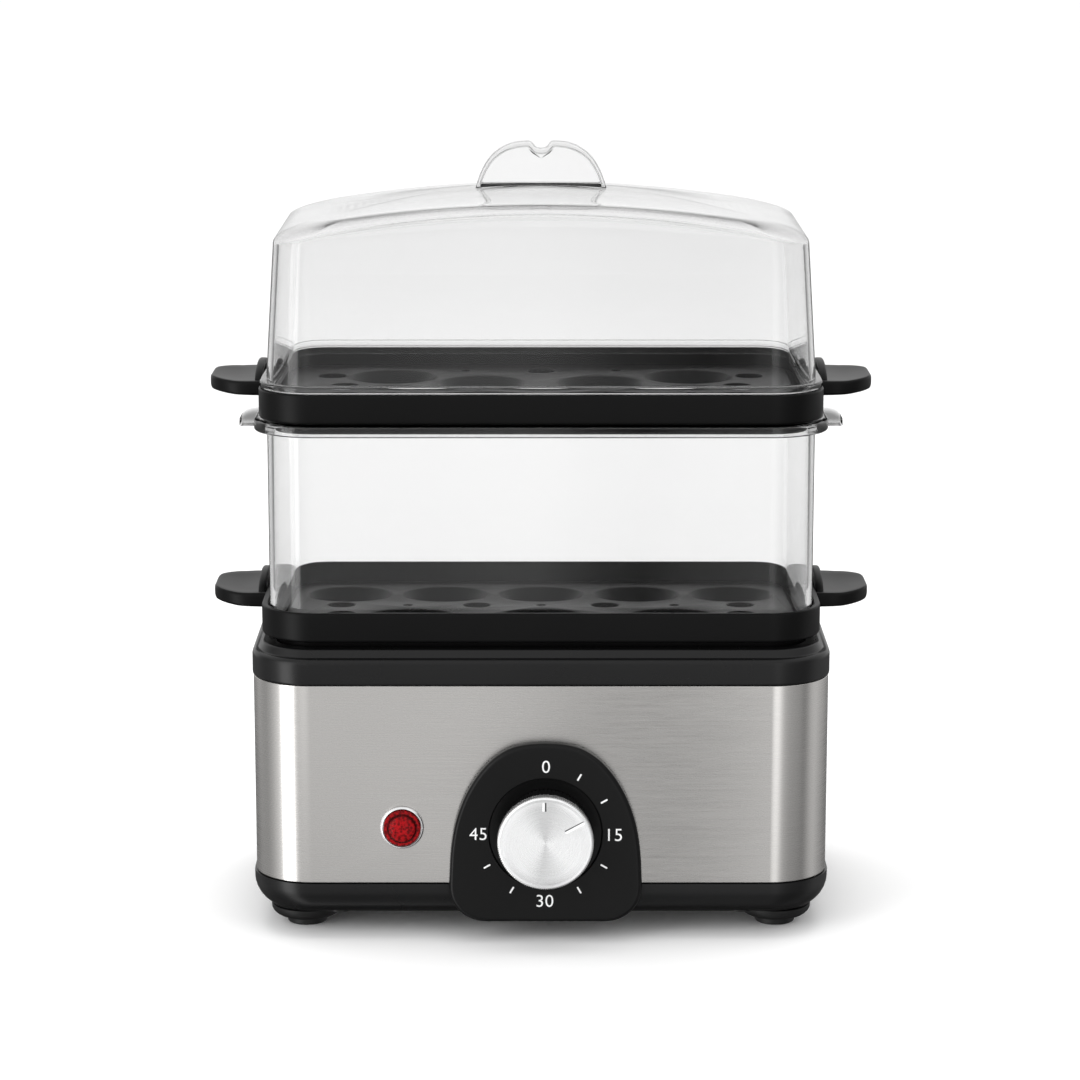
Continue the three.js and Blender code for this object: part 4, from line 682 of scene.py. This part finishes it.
def makeChamber(s):
    line, inside = s["inset"], s["inset"] + s["wall"]
    profile = softened([[inside, s["foot"]], [line, s["foot"]], [line, s["flangeFoot"]],
                        [-s["flangeOut"], s["flangeFoot"]], [-s["flangeOut"], s["top"]], [inside, s["top"]]],
                       [0.6, 0.6, 0.8, 0.9, 1.0, 0.6])
    chamber = newObject("chamberShell", planSkin(trayPlan, profile, ring=True, steps=20))
    placed(chamber, "clearPlastic", "chamber", "clear_plastic", "steam_chamber", crease=28)
    ears = newObject("chamberEars", joinedSkins([earSkin(side, earSizes) for side in (1, -1)]))
    placed(ears, "clearEar", "chamber", "clear_plastic", "steam_chamber", crease=28)


makeChamber(chamberSizes)
print("chamber made")

# Collar: ring with a ridge, the heating plate's ledge, the lip inside the wrap and four screw posts.
collarSizes = dict(foot=101.1, top=111.2, turn=1.3, ridgeFoot=2.6, ridgeIn=4.2, ridgeTop=114.3, inner=9.3,
                   ledgeIn=14.3, ledgeRise=8.5, lipIn=1.5, lipWall=2.0, lipFoot=96.1, postFoot=12.8,
                   postRadius=4.2, postBore=1.9, boreDepth=13.0, postAcross=78.0, postAlong=56.9)


def makeCollar(s):
    foot, top, turn, ledge, ridge = s["foot"], s["top"], s["turn"], s["foot"] + s["ledgeRise"], s["ridgeTop"]
    lip, lipEnd, inner, deep = s["lipIn"], s["lipIn"] + s["lipWall"], s["inner"], s["ledgeIn"]
    profile = softened([[0, foot], [0, top - turn], [turn, top], [s["ridgeFoot"], top], [s["ridgeIn"], ridge],
                        [inner, ridge], [inner, ledge], [deep, ledge], [deep, foot], [lipEnd, foot],
                        [lipEnd, s["lipFoot"]], [lip, s["lipFoot"]], [lip, foot]],
                       [0.9, 1.0, 1.0, 0.5, 0.7, 0.6, 0.4, 0.4, 0.4, 0.3, 0.5, 0.5, 0.2])
    collar = newObject("collarRing", planSkin(bodyPlan, profile, ring=True, steps=20))
    low, spots = s["postFoot"], fourSpots(s["postAcross"], s["postAlong"])
    posts = [rodSkin(s["postRadius"], low, foot + 1, spot) for spot in spots]
    bores = [rodSkin(s["postBore"], low - overrun, low + s["boreDepth"], spot, sides=20) for spot in spots]
    combined(collar, "UNION", [joinedSkins(posts)])
    combined(collar, "DIFFERENCE", [joinedSkins(bores)])
    placed(collar, "blackPlastic", "base", "black_plastic", "collar", crease=30)


makeCollar(collarSizes)

# The timer's two screws, left and right of the dial's middle.
def screwSpots(across):
    return [(dialSpot[0] + side * across, dialSpot[1]) for side in (-1, 1)]


# Steel wrap: a thin sheet round the base with its openings.
wrapSizes = dict(inset=0.4, sheet=0.8, foot=22.5, top=100.8, bushing=6.3, lampHole=5.7, gland=(46.0, 35.5),
                 glandHole=6.1, screwAcross=14.0, screwHole=1.7, cutDepth=4.0)


def makeWrap(s):
    inset, inside, face = s["inset"], s["inset"] + s["sheet"], bodyPlan["halfDepth"]
    profile = softened([[inset, s["foot"]], [inset, s["top"]], [inside, s["top"]], [inside, s["foot"]]], 0.3)
    wrap = newObject("steelWrap", planSkin(bodyPlan, profile, ring=True, steps=24))
    front, back = (-face - overrun, s["cutDepth"] - face), (face - s["cutDepth"], face + overrun)
    holes = [(s["bushing"], front, dialSpot), (s["lampHole"], front, lampSpot),
             (s["glandHole"], back, s["gland"])]
    holes += [(s["screwHole"], front, spot) for spot in screwSpots(s["screwAcross"])]
    cutters = [rodSkin(radius, *span, spot, "y", 40) for radius, span, spot in holes]
    combined(wrap, "DIFFERENCE", [joinedSkins(cutters)])
    placed(wrap, "brushedSteel", "base", "brushed_steel", "body_shell", crease=40)


makeWrap(wrapSizes)
print("collar and wrap made")


# A block with rounded upright edges, from a small rounded rectangle carried up.
def blockSkin(x0, x1, y0, y1, z0, z1, corner=0.8):
    plan = {"halfWidth": (x1 - x0) / 2, "halfDepth": (y1 - y0) / 2, "corner": corner}
    points, quads, fans = planSkin(plan, softLine([[0.4, z0], [0, z0], [0, z1], [0.4, z1]], 0.3), steps=4)
    return points + [(x0 + x1) / 2, (y0 + y1) / 2, 0], quads, fans


# Base pan: a shallow bowl with a wide quarter-round edge, a lip inside the wrap, bosses, a rest for the
# terminal block, room for the timer in the lip, and holes.
panSizes = dict(foot=8.1, top=22.2, flare=0.4, round=12.0, wall=2.4, floor=2.2, lipTop=27.2, footAcross=92.1,
                footAlong=42.9, pad=14.0, padBreak=0.4, pegHole=3.3, screwHole=1.8, bossRadius=5.2,
                bossTop=12.5, sink=3.7, sinkTop=10.5, inFloor=1.1, rest=(33, 59, 28, 40), restRise=4.0,
                roomHalf=21.6, room=(-67.5, -63.4))


def makePan(s):
    out, foot, floor, top, radius = -s["flare"], s["foot"], s["foot"] + s["floor"], s["top"], s["round"]
    lip, lipEnd, middle = collarSizes["lipIn"], collarSizes["lipIn"] + collarSizes["lipWall"], out + radius
    turn = np.linspace(0, math.pi / 2, 15)
    edge, inner = (pairs(middle - deep * np.cos(turn), foot + radius - flat * np.sin(turn))
                   for deep, flat in ((radius, radius), (radius - s["wall"], radius - s["floor"])))
    rim = softLine([[out + s["wall"], top], [lipEnd, top], [lipEnd, s["lipTop"]], [lip, s["lipTop"]],
                    [lip, top], [out, top]], [0.2, 0.2, 0.5, 0.5, 0.2, 0.7])
    rim[-1] = [out, top - 0.7]
    profile = np.concatenate([[[middle + 2, floor]], inner[::-1], rim, edge[1:], [[middle + 2, foot]]])
    pan = newObject("panBowl", planSkin(bodyPlan, profile, steps=20))
    posts = fourSpots(collarSizes["postAcross"], collarSizes["postAlong"])
    feet = fourSpots(s["footAcross"], s["footAlong"])
    low, pad = foot + s["inFloor"], s["pad"]
    bosses = [rodSkin(s["bossRadius"], low, s["bossTop"], spot) for spot in posts]
    pads = [turnedSkin([[pad - s["padBreak"], foot], [pad, foot + s["padBreak"]], [pad, floor]], spot)
            for spot in feet]
    combined(pan, "UNION", [joinedSkins(bosses), joinedSkins(pads),
                            blockSkin(*s["rest"], low, floor + s["restRise"])])
    bores = [rodSkin(s["pegHole"], foot - overrun, floor + overrun, spot) for spot in feet]
    sink, sinkTop, hole = s["sink"], s["sinkTop"], s["screwHole"]
    bores += [turnedSkin([[sink, foot - overrun], [sink, sinkTop], [hole, sinkTop],
                          [hole, s["bossTop"] + overrun]], spot, sides=28) for spot in posts]
    room = blockSkin(dialSpot[0] - s["roomHalf"], dialSpot[0] + s["roomHalf"], *s["room"], top - skim,
                     s["lipTop"] + overrun, corner=0.1)
    combined(pan, "DIFFERENCE", [joinedSkins(bores), room])
    placed(pan, "blackPlastic", "base", "black_plastic", "base_pan", crease=30)


makePan(panSizes)

# Foot: a tread, a wide flange with a quarter-round lower edge, and a peg into the pan.
footSizes = dict(hollow=2.0, hollowEdge=3.0, hollowRise=0.4, tread=7.8, treadTop=2.7, flange=14.0, turn=7.0,
                 top=7.8, peg=3.0, pegTop=13.1)


def makeFoot(sx, sy, place, s):
    turn = np.linspace(-math.pi / 2, 0, 10)
    tread, flange, top, bend = s["tread"], s["flange"], s["top"], s["turn"]
    under = pairs(tread + (flange - tread) * np.cos(turn), bend + (bend - s["treadTop"]) * np.sin(turn))
    low = softLine([[s["hollow"], s["hollowRise"]], [s["hollowEdge"], 0], [tread, 0], [tread, s["treadTop"]]],
                   [0.1, 0.5, 0.9, 0.05])
    high = softLine([[flange, top - 0.7], [flange, top], [s["peg"], top], [s["peg"], s["pegTop"]],
                     [s["peg"] - 1, s["pegTop"]]], [0.1, 0.5, 0.2, 0.6, 0.1])
    spot = (sx * panSizes["footAcross"], sy * panSizes["footAlong"])
    profile = np.concatenate([low, under[1:], high])
    foot = newObject("rubberFoot_" + place, turnedSkin(profile, spot, sides=56))
    placed(foot, "blackRubber", "base", "black_rubber", "foot_" + place)


for sx, sy, place in corners:
    makeFoot(sx, sy, place, footSizes)
print("pan and feet made")

# Control panel: rings of one outline round the dial's middle. Each ring runs in every direction to the
# arch drawn in by the row's inset, or to a circle, and stands at the row's Y. The arch's upper part is
# given in shares of its half width and of its rise from the waist.
panelSizes = dict(halfWidth=37.2, top=79.3, bottom=8.3, waist=23.5, foot=14.0, back=-68.0, face=-72.4,
                  bevel=1.1, well=21.8, wellFloor=-71.0, bore=6.3, directions=240, archSoft=9.0,
                  arch=[[1, 0], [0.985, 0.24], [0.935, 0.44], [0.84, 0.62], [0.71, 0.77], [0.56, 0.885],
                        [0.38, 0.965], [0.19, 0.995], [0, 1]])


# Distance from the dial's middle to the arch in each direction, read off its outline by angle.
def archReach(s, inset, turn):
    arch, radius = np.array(s["arch"]), s["foot"] - inset
    swing = np.linspace(-math.pi / 2, 0, 12)
    foot = pairs(s["halfWidth"] - s["foot"] + radius * np.cos(swing),
                 s["bottom"] + s["foot"] + radius * np.sin(swing))
    side = softLine(pairs(arch[:, 0] * (s["halfWidth"] - inset),
                          s["waist"] + arch[:, 1] * (s["top"] - inset - s["waist"])), s["archSoft"], 6)
    right = np.concatenate([foot, side])
    line = np.concatenate([right, (right * [-1, 1])[::-1]]) - [0, dialSpot[1]]
    line = line[np.argsort(np.arctan2(line[:, 1], line[:, 0]))]
    step, share = np.roll(line, -1, axis=0) - line, np.linspace(0, 1, 12, endpoint=False)
    fine = (line[:, None] + step[:, None] * share[None, :, None]).reshape(-1, 2)
    angle, far = np.arctan2(fine[:, 1], fine[:, 0]), np.hypot(fine[:, 0], fine[:, 1])
    order = np.argsort(angle)
    return np.interp(turn, angle[order], far[order], period=2 * math.pi)


def makePanel(s):
    turn, back, face, bevel = fullTurn(s["directions"]), s["back"], s["face"], s["bevel"]
    arch = softLine([[2.0, back], [0, back], [0, face + bevel], [bevel, face], [bevel + 1.4, face]],
                    [0.2, 0.4, 0.7, 0.7, 0.1])
    well = softLine([[s["well"] + 0.8, face], [s["well"], face], [s["well"], s["wellFloor"]],
                     [s["bore"], s["wellFloor"]], [s["bore"], back], [s["bore"] + 2, back]],
                    [0.1, 0.4, 0.4, 0.3, 0.3, 0.1])
    reach = [archReach(s, inset, turn) for inset in arch[:, 0]] + [0 * turn + radius for radius in well[:, 0]]
    y = np.concatenate([arch[:, 1:], well[:, 1:]])
    panel = newObject("panelArch", ringSkin(np.array(reach), y, turn, dialSpot, "y", ring=True))
    cutters = [rodSkin(wrapSizes["screwHole"], face - overrun, back + overrun, spot, "y", 20)
               for spot in screwSpots(wrapSizes["screwAcross"])]
    combined(panel, "DIFFERENCE", [joinedSkins(cutters)])
    placed(panel, "panelPlastic", "base", "panel_plastic", "control_panel", crease=30)


makePanel(panelSizes)

# Knob: a turned cap, slightly coned, whose rim carries fine teeth, on a ribbed body. Teeth and ribs are a
# swing of the radius with the cosine of their count times the turn. Each row of the cap's profile is its
# place along the radius or in from it, its way back from the front, and its share of the teeth's depth.
knobSizes = dict(capFront=-85.8, capBack=-81.2, capRadius=18.4, teeth=140, toothDepth=0.26, dish=0.7,
                 bodyRadius=17.6, bodyFront=-80.9, bodyBack=-71.3, ribs=72, ribDepth=0.45, hub=5.6, wall=1.8,
                 bore=3.3, toothSteps=6)


def toothedSkin(rows, teeth, toothDepth, steps):
    far, y, share = (column[:, None] for column in np.array(rows, float).T)
    turn = fullTurn(teeth * steps)
    return ringSkin(far - share * toothDepth * (0.5 - 0.5 * np.cos(teeth * turn)), y, turn, dialSpot, "y")


def makeKnob(s):
    radius, front, back, dish = s["capRadius"], s["capFront"], s["capBack"], s["dish"]
    rows = [[0.4, front + dish, 0], [4, front + dish * 0.79, 0], [9, front + dish * 0.5, 0],
            [14, front + dish * 0.18, 0], [radius - 2.1, front + 0.02, 0], [radius - 1.6, front + 0.14, 0],
            [radius - 1.2, front, 0], [radius - 0.7, front + 0.05, 0.3], [radius - 0.25, front + 0.35, 0.8],
            [radius, front + 0.95, 1], [radius, back - 0.3, 1], [radius - 0.3, back, 0.6],
            [radius - 4, back, 0]]
    cap = newObject("capDisc", toothedSkin(rows, s["teeth"], s["toothDepth"], s["toothSteps"]))
    placed(cap, "spunAluminium", "knob", "spun_aluminium", "knob_cap", crease=50)
    radius, front, back, wall = s["bodyRadius"], s["bodyFront"], s["bodyBack"], s["wall"]
    inner, hub, bore, floor = radius - s["ribDepth"] - wall, s["hub"], s["bore"], front + wall
    rows = [[0.6, front, 0], [radius - 1, front, 0.6], [radius, front + 0.3, 1], [radius, back, 1],
            [inner, back, 0], [inner, floor, 0], [hub, floor, 0], [hub, back, 0], [bore, back, 0],
            [bore, floor, 0], [0.6, floor, 0]]
    body = newObject("ribbedBody", toothedSkin(rows, s["ribs"], s["ribDepth"], s["toothSteps"]))
    placed(body, "blackPlastic", "knob", "black_plastic", "knob_body", crease=40)


makeKnob(knobSizes)
print("panel and knob made")


# A short bar on a face that looks to -Y, turned by degrees clockwise from twelve o'clock, from near to far
# along that direction and shifted across it.
def barSkin(degrees, near, far, width, back, front, shift=0.0):
    turn, edge = math.radians(degrees), 0.08
    plan = {"halfWidth": (far - near) / 2, "halfDepth": width / 2, "corner": width * 0.3}
    profile = softLine([[edge, back], [0, back], [0, front], [edge, front]], edge / 2)
    u, v = outlineGrid(plan, profile[:, 0], steps=4)
    u, v = u + (near + far) / 2, v + shift
    return gridSkin(dialSpot[0] + u * math.sin(turn) + v * math.cos(turn), profile[:, 1:2],
                    dialSpot[1] + u * math.cos(turn) - v * math.sin(turn))


# Ticks are near, far and width, and the lines on the cap direction, near, far, width and shift. The cap's
# bright lines are painted highlights: the lit wall of the engraved pointer line at twelve o'clock, and a
# painted glint at 61 degrees. The dark lines beside them are painted shade.
dialSizes = dict(digit=4.85, thickness=0.12, sunk=0.1, tick=(24.5, 27.4, 0.66),
                 ticks=[30, 60, 120, 150, 210, 240], spacing=1.04, thin=-0.004,
                 numbers={"0": (0.2, 26.7), "15": (26.7, -0.4), "30": (-0.2, -26.8), "45": (-25.9, 0.0)},
                 lineDepth=1.2, bright=[(0, 12.7, 16.2, 0.9, -0.75), (61, 8.8, 17.0, 1.0, 0.0)],
                 dark=[(0, 12.7, 16.3, 0.6, 0.05), (61, 8.8, 16.9, 0.35, -0.68)])


def makeNumber(word, spot, s):
    curve = bpy.data.curves.new("dialNumber" + word, "FONT")
    curve.body, curve.size, curve.extrude, curve.space_character = word, 1.0, 0.1, s["spacing"]
    curve.offset, curve.resolution_u = s["thin"], 6
    text = linked("dialNumber" + word, curve)
    mesh = bakedMesh(text)
    bpy.data.objects.remove(text)
    flat = np.empty(len(mesh.vertices) * 3, np.float32)
    mesh.vertices.foreach_get("co", flat)
    points = flat.reshape(-1, 3).astype(float)
    low, high = points.min(axis=0), points.max(axis=0)
    points = (points - (low + high) / 2) * (s["digit"] / (high[1] - low[1]))
    depth = panelSizes["face"] + np.where(points[:, 2] > 0, -s["thickness"], s["sunk"])
    across, up = points[:, 0] + dialSpot[0] + spot[0], points[:, 1] + dialSpot[1] + spot[1]
    points = np.stack([across, depth + midY, up], axis=1) * mm
    mesh.vertices.foreach_set("co", points.astype(np.float32).ravel())
    placed(linked("dialNumber" + word, mesh), "dialPrintAndHighlight", "base", "panel_plastic")


def makeDialMarks(s):
    face, front = panelSizes["face"], knobSizes["capFront"]
    ticks = [barSkin(degrees, *s["tick"], face + s["sunk"], face - s["thickness"]) for degrees in s["ticks"]]
    placed(newObject("dialTicks", joinedSkins(ticks)), "dialPrintAndHighlight", "base", "panel_plastic")
    for word, spot in s["numbers"].items():
        makeNumber(word, spot, s)
    # On the cap, the bright bars are painted highlights and the dark bars painted shade.
    for name, finish, lines in (("knobPaintedHighlight", "dialPrintAndHighlight", s["bright"]),
                                ("knobPaintedShade", "lineShadow", s["dark"])):
        bars = [barSkin(*sizes, front + s["lineDepth"], front, shift) for *sizes, shift in lines]
        placed(newObject(name, joinedSkins(bars)), finish, "knob", "spun_aluminium")


makeDialMarks(dialSizes)

# Lamp: a red lens with a low dome and a hollow barrel, in a thin plated ring.
lampSizes = dict(back=-67.2, face=-69.0, flange=7.2, dome=5.5, rise=2.2, barrel=5.2, wall=1.2, end=-54.2,
                 bezelInner=7.5, bezelOuter=8.4, bezelFace=-68.6)


def makeLamp(s):
    back, face, barrel, wall = s["back"], s["face"], s["barrel"], s["wall"]
    swing = np.linspace(0.06, math.pi / 2, 12)
    dome = pairs(s["dome"] * np.sin(swing), face - s["rise"] * np.cos(swing))
    rest = softLine([[s["dome"] + 0.1, face], [s["flange"], face], [s["flange"], back], [barrel, back],
                     [barrel, s["end"]], [barrel - wall, s["end"]], [barrel - wall, face + wall],
                     [0.5, face + wall]], [0.05, 0.6, 0.3, 0.3, 0.3, 0.3, 0.3, 0.05])
    lens = newObject("lensDome", turnedSkin(np.concatenate([dome, rest]), lampSpot, axis="y", sides=64))
    placed(lens, "redLens", "base", "red_lens", "lamp_lens")
    ring = softened([[s["bezelInner"], back], [s["bezelInner"], s["bezelFace"]],
                     [s["bezelOuter"], s["bezelFace"] + 0.6], [s["bezelOuter"], back]], [0.2, 0.4, 0.5, 0.2])
    bezel = newObject("lampRing", turnedSkin(ring, lampSpot, axis="y", sides=64, ring=True))
    placed(bezel, "bezelMetal", "base", "bezel_metal", "lamp_bezel")


makeLamp(lampSizes)
print("dial marks and lamp made")

# Finishes of the nodes that keep their own mesh; the rest of them are plated steel.
nodeFinish = {
    "coatedPlate": ["heating_plate"], "silicone": ["plate_seal"], "heaterSheath": ["heating_element"],
    "bakelite": ["thermostat", "timer_case", "switch_block"], "blackRubber": ["cord_gland"],
    "brass": ["timer_wheel", "timer_pinion", "contact_leaf_lower", "contact_leaf_upper"],
    "nylon": ["timer_cam", "gland_nut", "lamp_clip"], "ivoryPlastic": ["terminal_block", "thermal_fuse"],
    "neonGlass": ["neon_lamp"], "brownWire": ["wire_live", "wire_load", "wire_link", "wire_lamp_live"],
    "blueWire": ["wire_heater", "wire_neutral", "wire_lamp_neutral"],
}
finishOf = {name: finish for finish, names in nodeFinish.items() for name in names}
for name, obj in nodes.items():
    obj.data.materials.clear()
    obj.data.materials.append(materials[finishOf.get(name, "platedSteel")])
print("node finishes set")


# Floor, backdrop and light. To rays that come through the clear plastic, the floor's colour is darker at the
# object's sides than behind it: painted shade that stands for a dark room at the sides.
stageSizes = dict(half=12.0, floorColour=(0.95, 0.95, 0.95), toneSwing=0.006, rough=0.9, throughSide=0.1,
                  sideEnd=2.2, backStart=2.6)


def makeFloor(s):
    mesh = bpy.data.meshes.new("studioFloor")
    h = s["half"]
    mesh.from_pydata([(-h, -h, 0), (h, -h, 0), (h, h, 0), (-h, h, 0)], [], [(0, 1, 2, 3)])
    floor = linked("studioFloor", mesh)
    material, tree, shader, output = newMaterial("floorPaper")
    angle = compass(tree, objectPlace(tree))[0]
    # Painted shade: to rays through the clear plastic, the floor's colour falls to throughSide at the
    # object's sides.
    wide = ranged(tree, sums(tree, "ABSOLUTE", angle), s["sideEnd"], s["backStart"], s["throughSide"])
    dim = mixed(tree, addNode(tree, "LightPath")["Is Transmission Ray"], 1.0, wide)
    paper = toned(tree, grained(tree, 600.0, 3.0)["Drift"], s["floorColour"], s["toneSwing"])
    feed(tree, shader, {"Base Color": colourMix(tree, 1.0, paper, dim, "MULTIPLY"), "Roughness": s["rough"],
                        "Specular IOR Level": 0.0})
    mesh.materials.append(material)
    floor.visible_glossy = False


# Round the object stand two soft boxes and a darker room between them, by compass direction. Each stop is
# a direction in degrees from the front (left is negative) and how bright it is, at eye level and below it.
studioStops = [
    (-126, 1.0), (-114, 0.5), (-100, 0.42), (-86, 0.62), (-72, 1.0), (-64, 1.4), (-61, 3.6), (-38, 3.6),
    (-35, 1.3), (-26, 0.9), (-21, 1.3), (-11, 1.3), (-9, 1.0), (-4.5, 0.7), (-3, 0.7), (-1.5, 0.95),
    (0.5, 0.95), (1.3, 0.42), (2.0, 0.16), (3.5, 0.14), (4, 0.5), (7, 0.8), (9, 1.7), (18, 1.7), (30, 0.7),
    (47, 0.55), (60, 0.5), (69, 0.3), (76, 0.3), (88, 0.7), (100, 0.8), (126, 1.0)]
lowStops = [
    (-165, 0.12), (-140, 0.2), (-120, 0.4), (-100, 0.42), (-86, 0.62), (-72, 1.0), (-64, 1.4), (-61, 4.5),
    (-42, 4.5), (-36, 1.0), (-30, 0.8), (-20, 0.8), (-4.5, 0.8), (-2.5, 0.85), (-1.5, 1.0), (0.5, 1.0),
    (1.3, 0.5), (2.0, 0.22), (3.5, 0.2), (4, 0.45), (6, 0.75), (10, 1.5), (17, 1.5), (26, 0.7), (40, 0.45),
    (60, 0.35), (72, 0.28), (88, 0.6), (100, 0.7), (120, 0.4), (140, 0.2), (165, 0.12)]
# Heights are those of a direction, from -1 straight down to 1 straight up; angles are in radians.
worldSizes = dict(top=1.1, roofFoot=0.45, roofEdge=0.62, lowEdge=0.05, lowDeep=-0.2, floorEdge=-0.4,
                  floorDeep=-0.7, nearFloor=0.4, throughSide=0.12, sideEnd=1.95, backStart=2.25)


def studioRamp(tree, share, listed):
    peak = max(tone for _, tone in listed)
    stops = [((degrees + 180) / 360, tone / peak) for degrees, tone in listed]
    return sums(tree, "MULTIPLY", greyRamp(tree, share, stops), peak)


# Camera rays see white. Rays through the clear plastic see white behind the object and dark at its
# sides. All others see the soft boxes, dimmer near the floor. A bright roof closes the room above.
def makeWorld(s):
    world = bpy.data.worlds.new("studio")
    scene.world = world
    world.use_nodes = True
    tree = world.node_tree
    tree.nodes.clear()
    angle, height = compass(tree, addNode(tree, "TexCoord")["Generated"])
    share = sums(tree, "MULTIPLY_ADD", angle, 0.5 / math.pi, 0.5)
    below = ranged(tree, height, s["lowEdge"], s["lowDeep"])
    above = ranged(tree, height, s["roofFoot"], s["roofEdge"])
    steep = ranged(tree, height, s["floorEdge"], s["floorDeep"], 1.0, s["nearFloor"])
    level = mixed(tree, below, studioRamp(tree, share, studioStops), studioRamp(tree, share, lowStops))
    room = mixed(tree, above, sums(tree, "MULTIPLY", level, steep), s["top"])
    behind = ranged(tree, sums(tree, "ABSOLUTE", angle), s["sideEnd"], s["backStart"], s["throughSide"])
    path = addNode(tree, "LightPath")
    bent = mixed(tree, path["Is Transmission Ray"], room, mixed(tree, above, behind, s["top"]))
    seen = mixed(tree, path["Is Camera Ray"], bent, 1.0)
    light = addNode(tree, "Background", {"Color": (1, 1, 1, 1), "Strength": seen})[0]
    feed(tree, tree.nodes.new("ShaderNodeOutputWorld"), {"Surface": light})


# Soft lamps: place, aim and size in metres, power in watts.
lamps = {
    "keyLeft": dict(place=(-1.3, -1.2, 1.1), aim=(0, 0, 0.12), width=0.8, height=1.2, power=5.0),
    "fillRight": dict(place=(1.3, -1.3, 0.9), aim=(0, 0, 0.12), width=0.8, height=1.2, power=3.0),
    "topSoft": dict(place=(0, 0.2, 1.7), aim=(0, 0, 0), width=1.4, height=1.0, power=10.0),
}


def makeSoftLamp(name, look):
    light = bpy.data.lights.new(name, "AREA")
    light.shape, light.energy = "RECTANGLE", look["power"]
    light.size, light.size_y = look["width"], look["height"]
    lamp = linked(name, light)
    way = np.array(look["aim"]) - look["place"]
    lamp.location = look["place"]
    lamp.rotation_euler = (math.acos(-way[2] / np.linalg.norm(way)), 0, math.atan2(-way[0], way[1]))
    lamp.visible_glossy = False
    lamp.visible_transmission = False


cameraSizes = dict(place=(-0.0004, -1.3302, 0.4219), tilt=11.735, lens=114.27, sensor=36.0)


def makeCamera(s):
    data = bpy.data.cameras.new("camera")
    data.lens, data.sensor_width = s["lens"], s["sensor"]
    camera = linked("camera", data)
    camera.location = s["place"]
    camera.rotation_euler = (math.radians(90 - s["tilt"]), 0, 0)
    scene.camera = camera


makeFloor(stageSizes)
makeWorld(worldSizes)
for name, look in lamps.items():
    makeSoftLamp(name, look)
makeCamera(cameraSizes)
scene.view_settings.view_transform = "Standard"
print("stage, light and camera made")
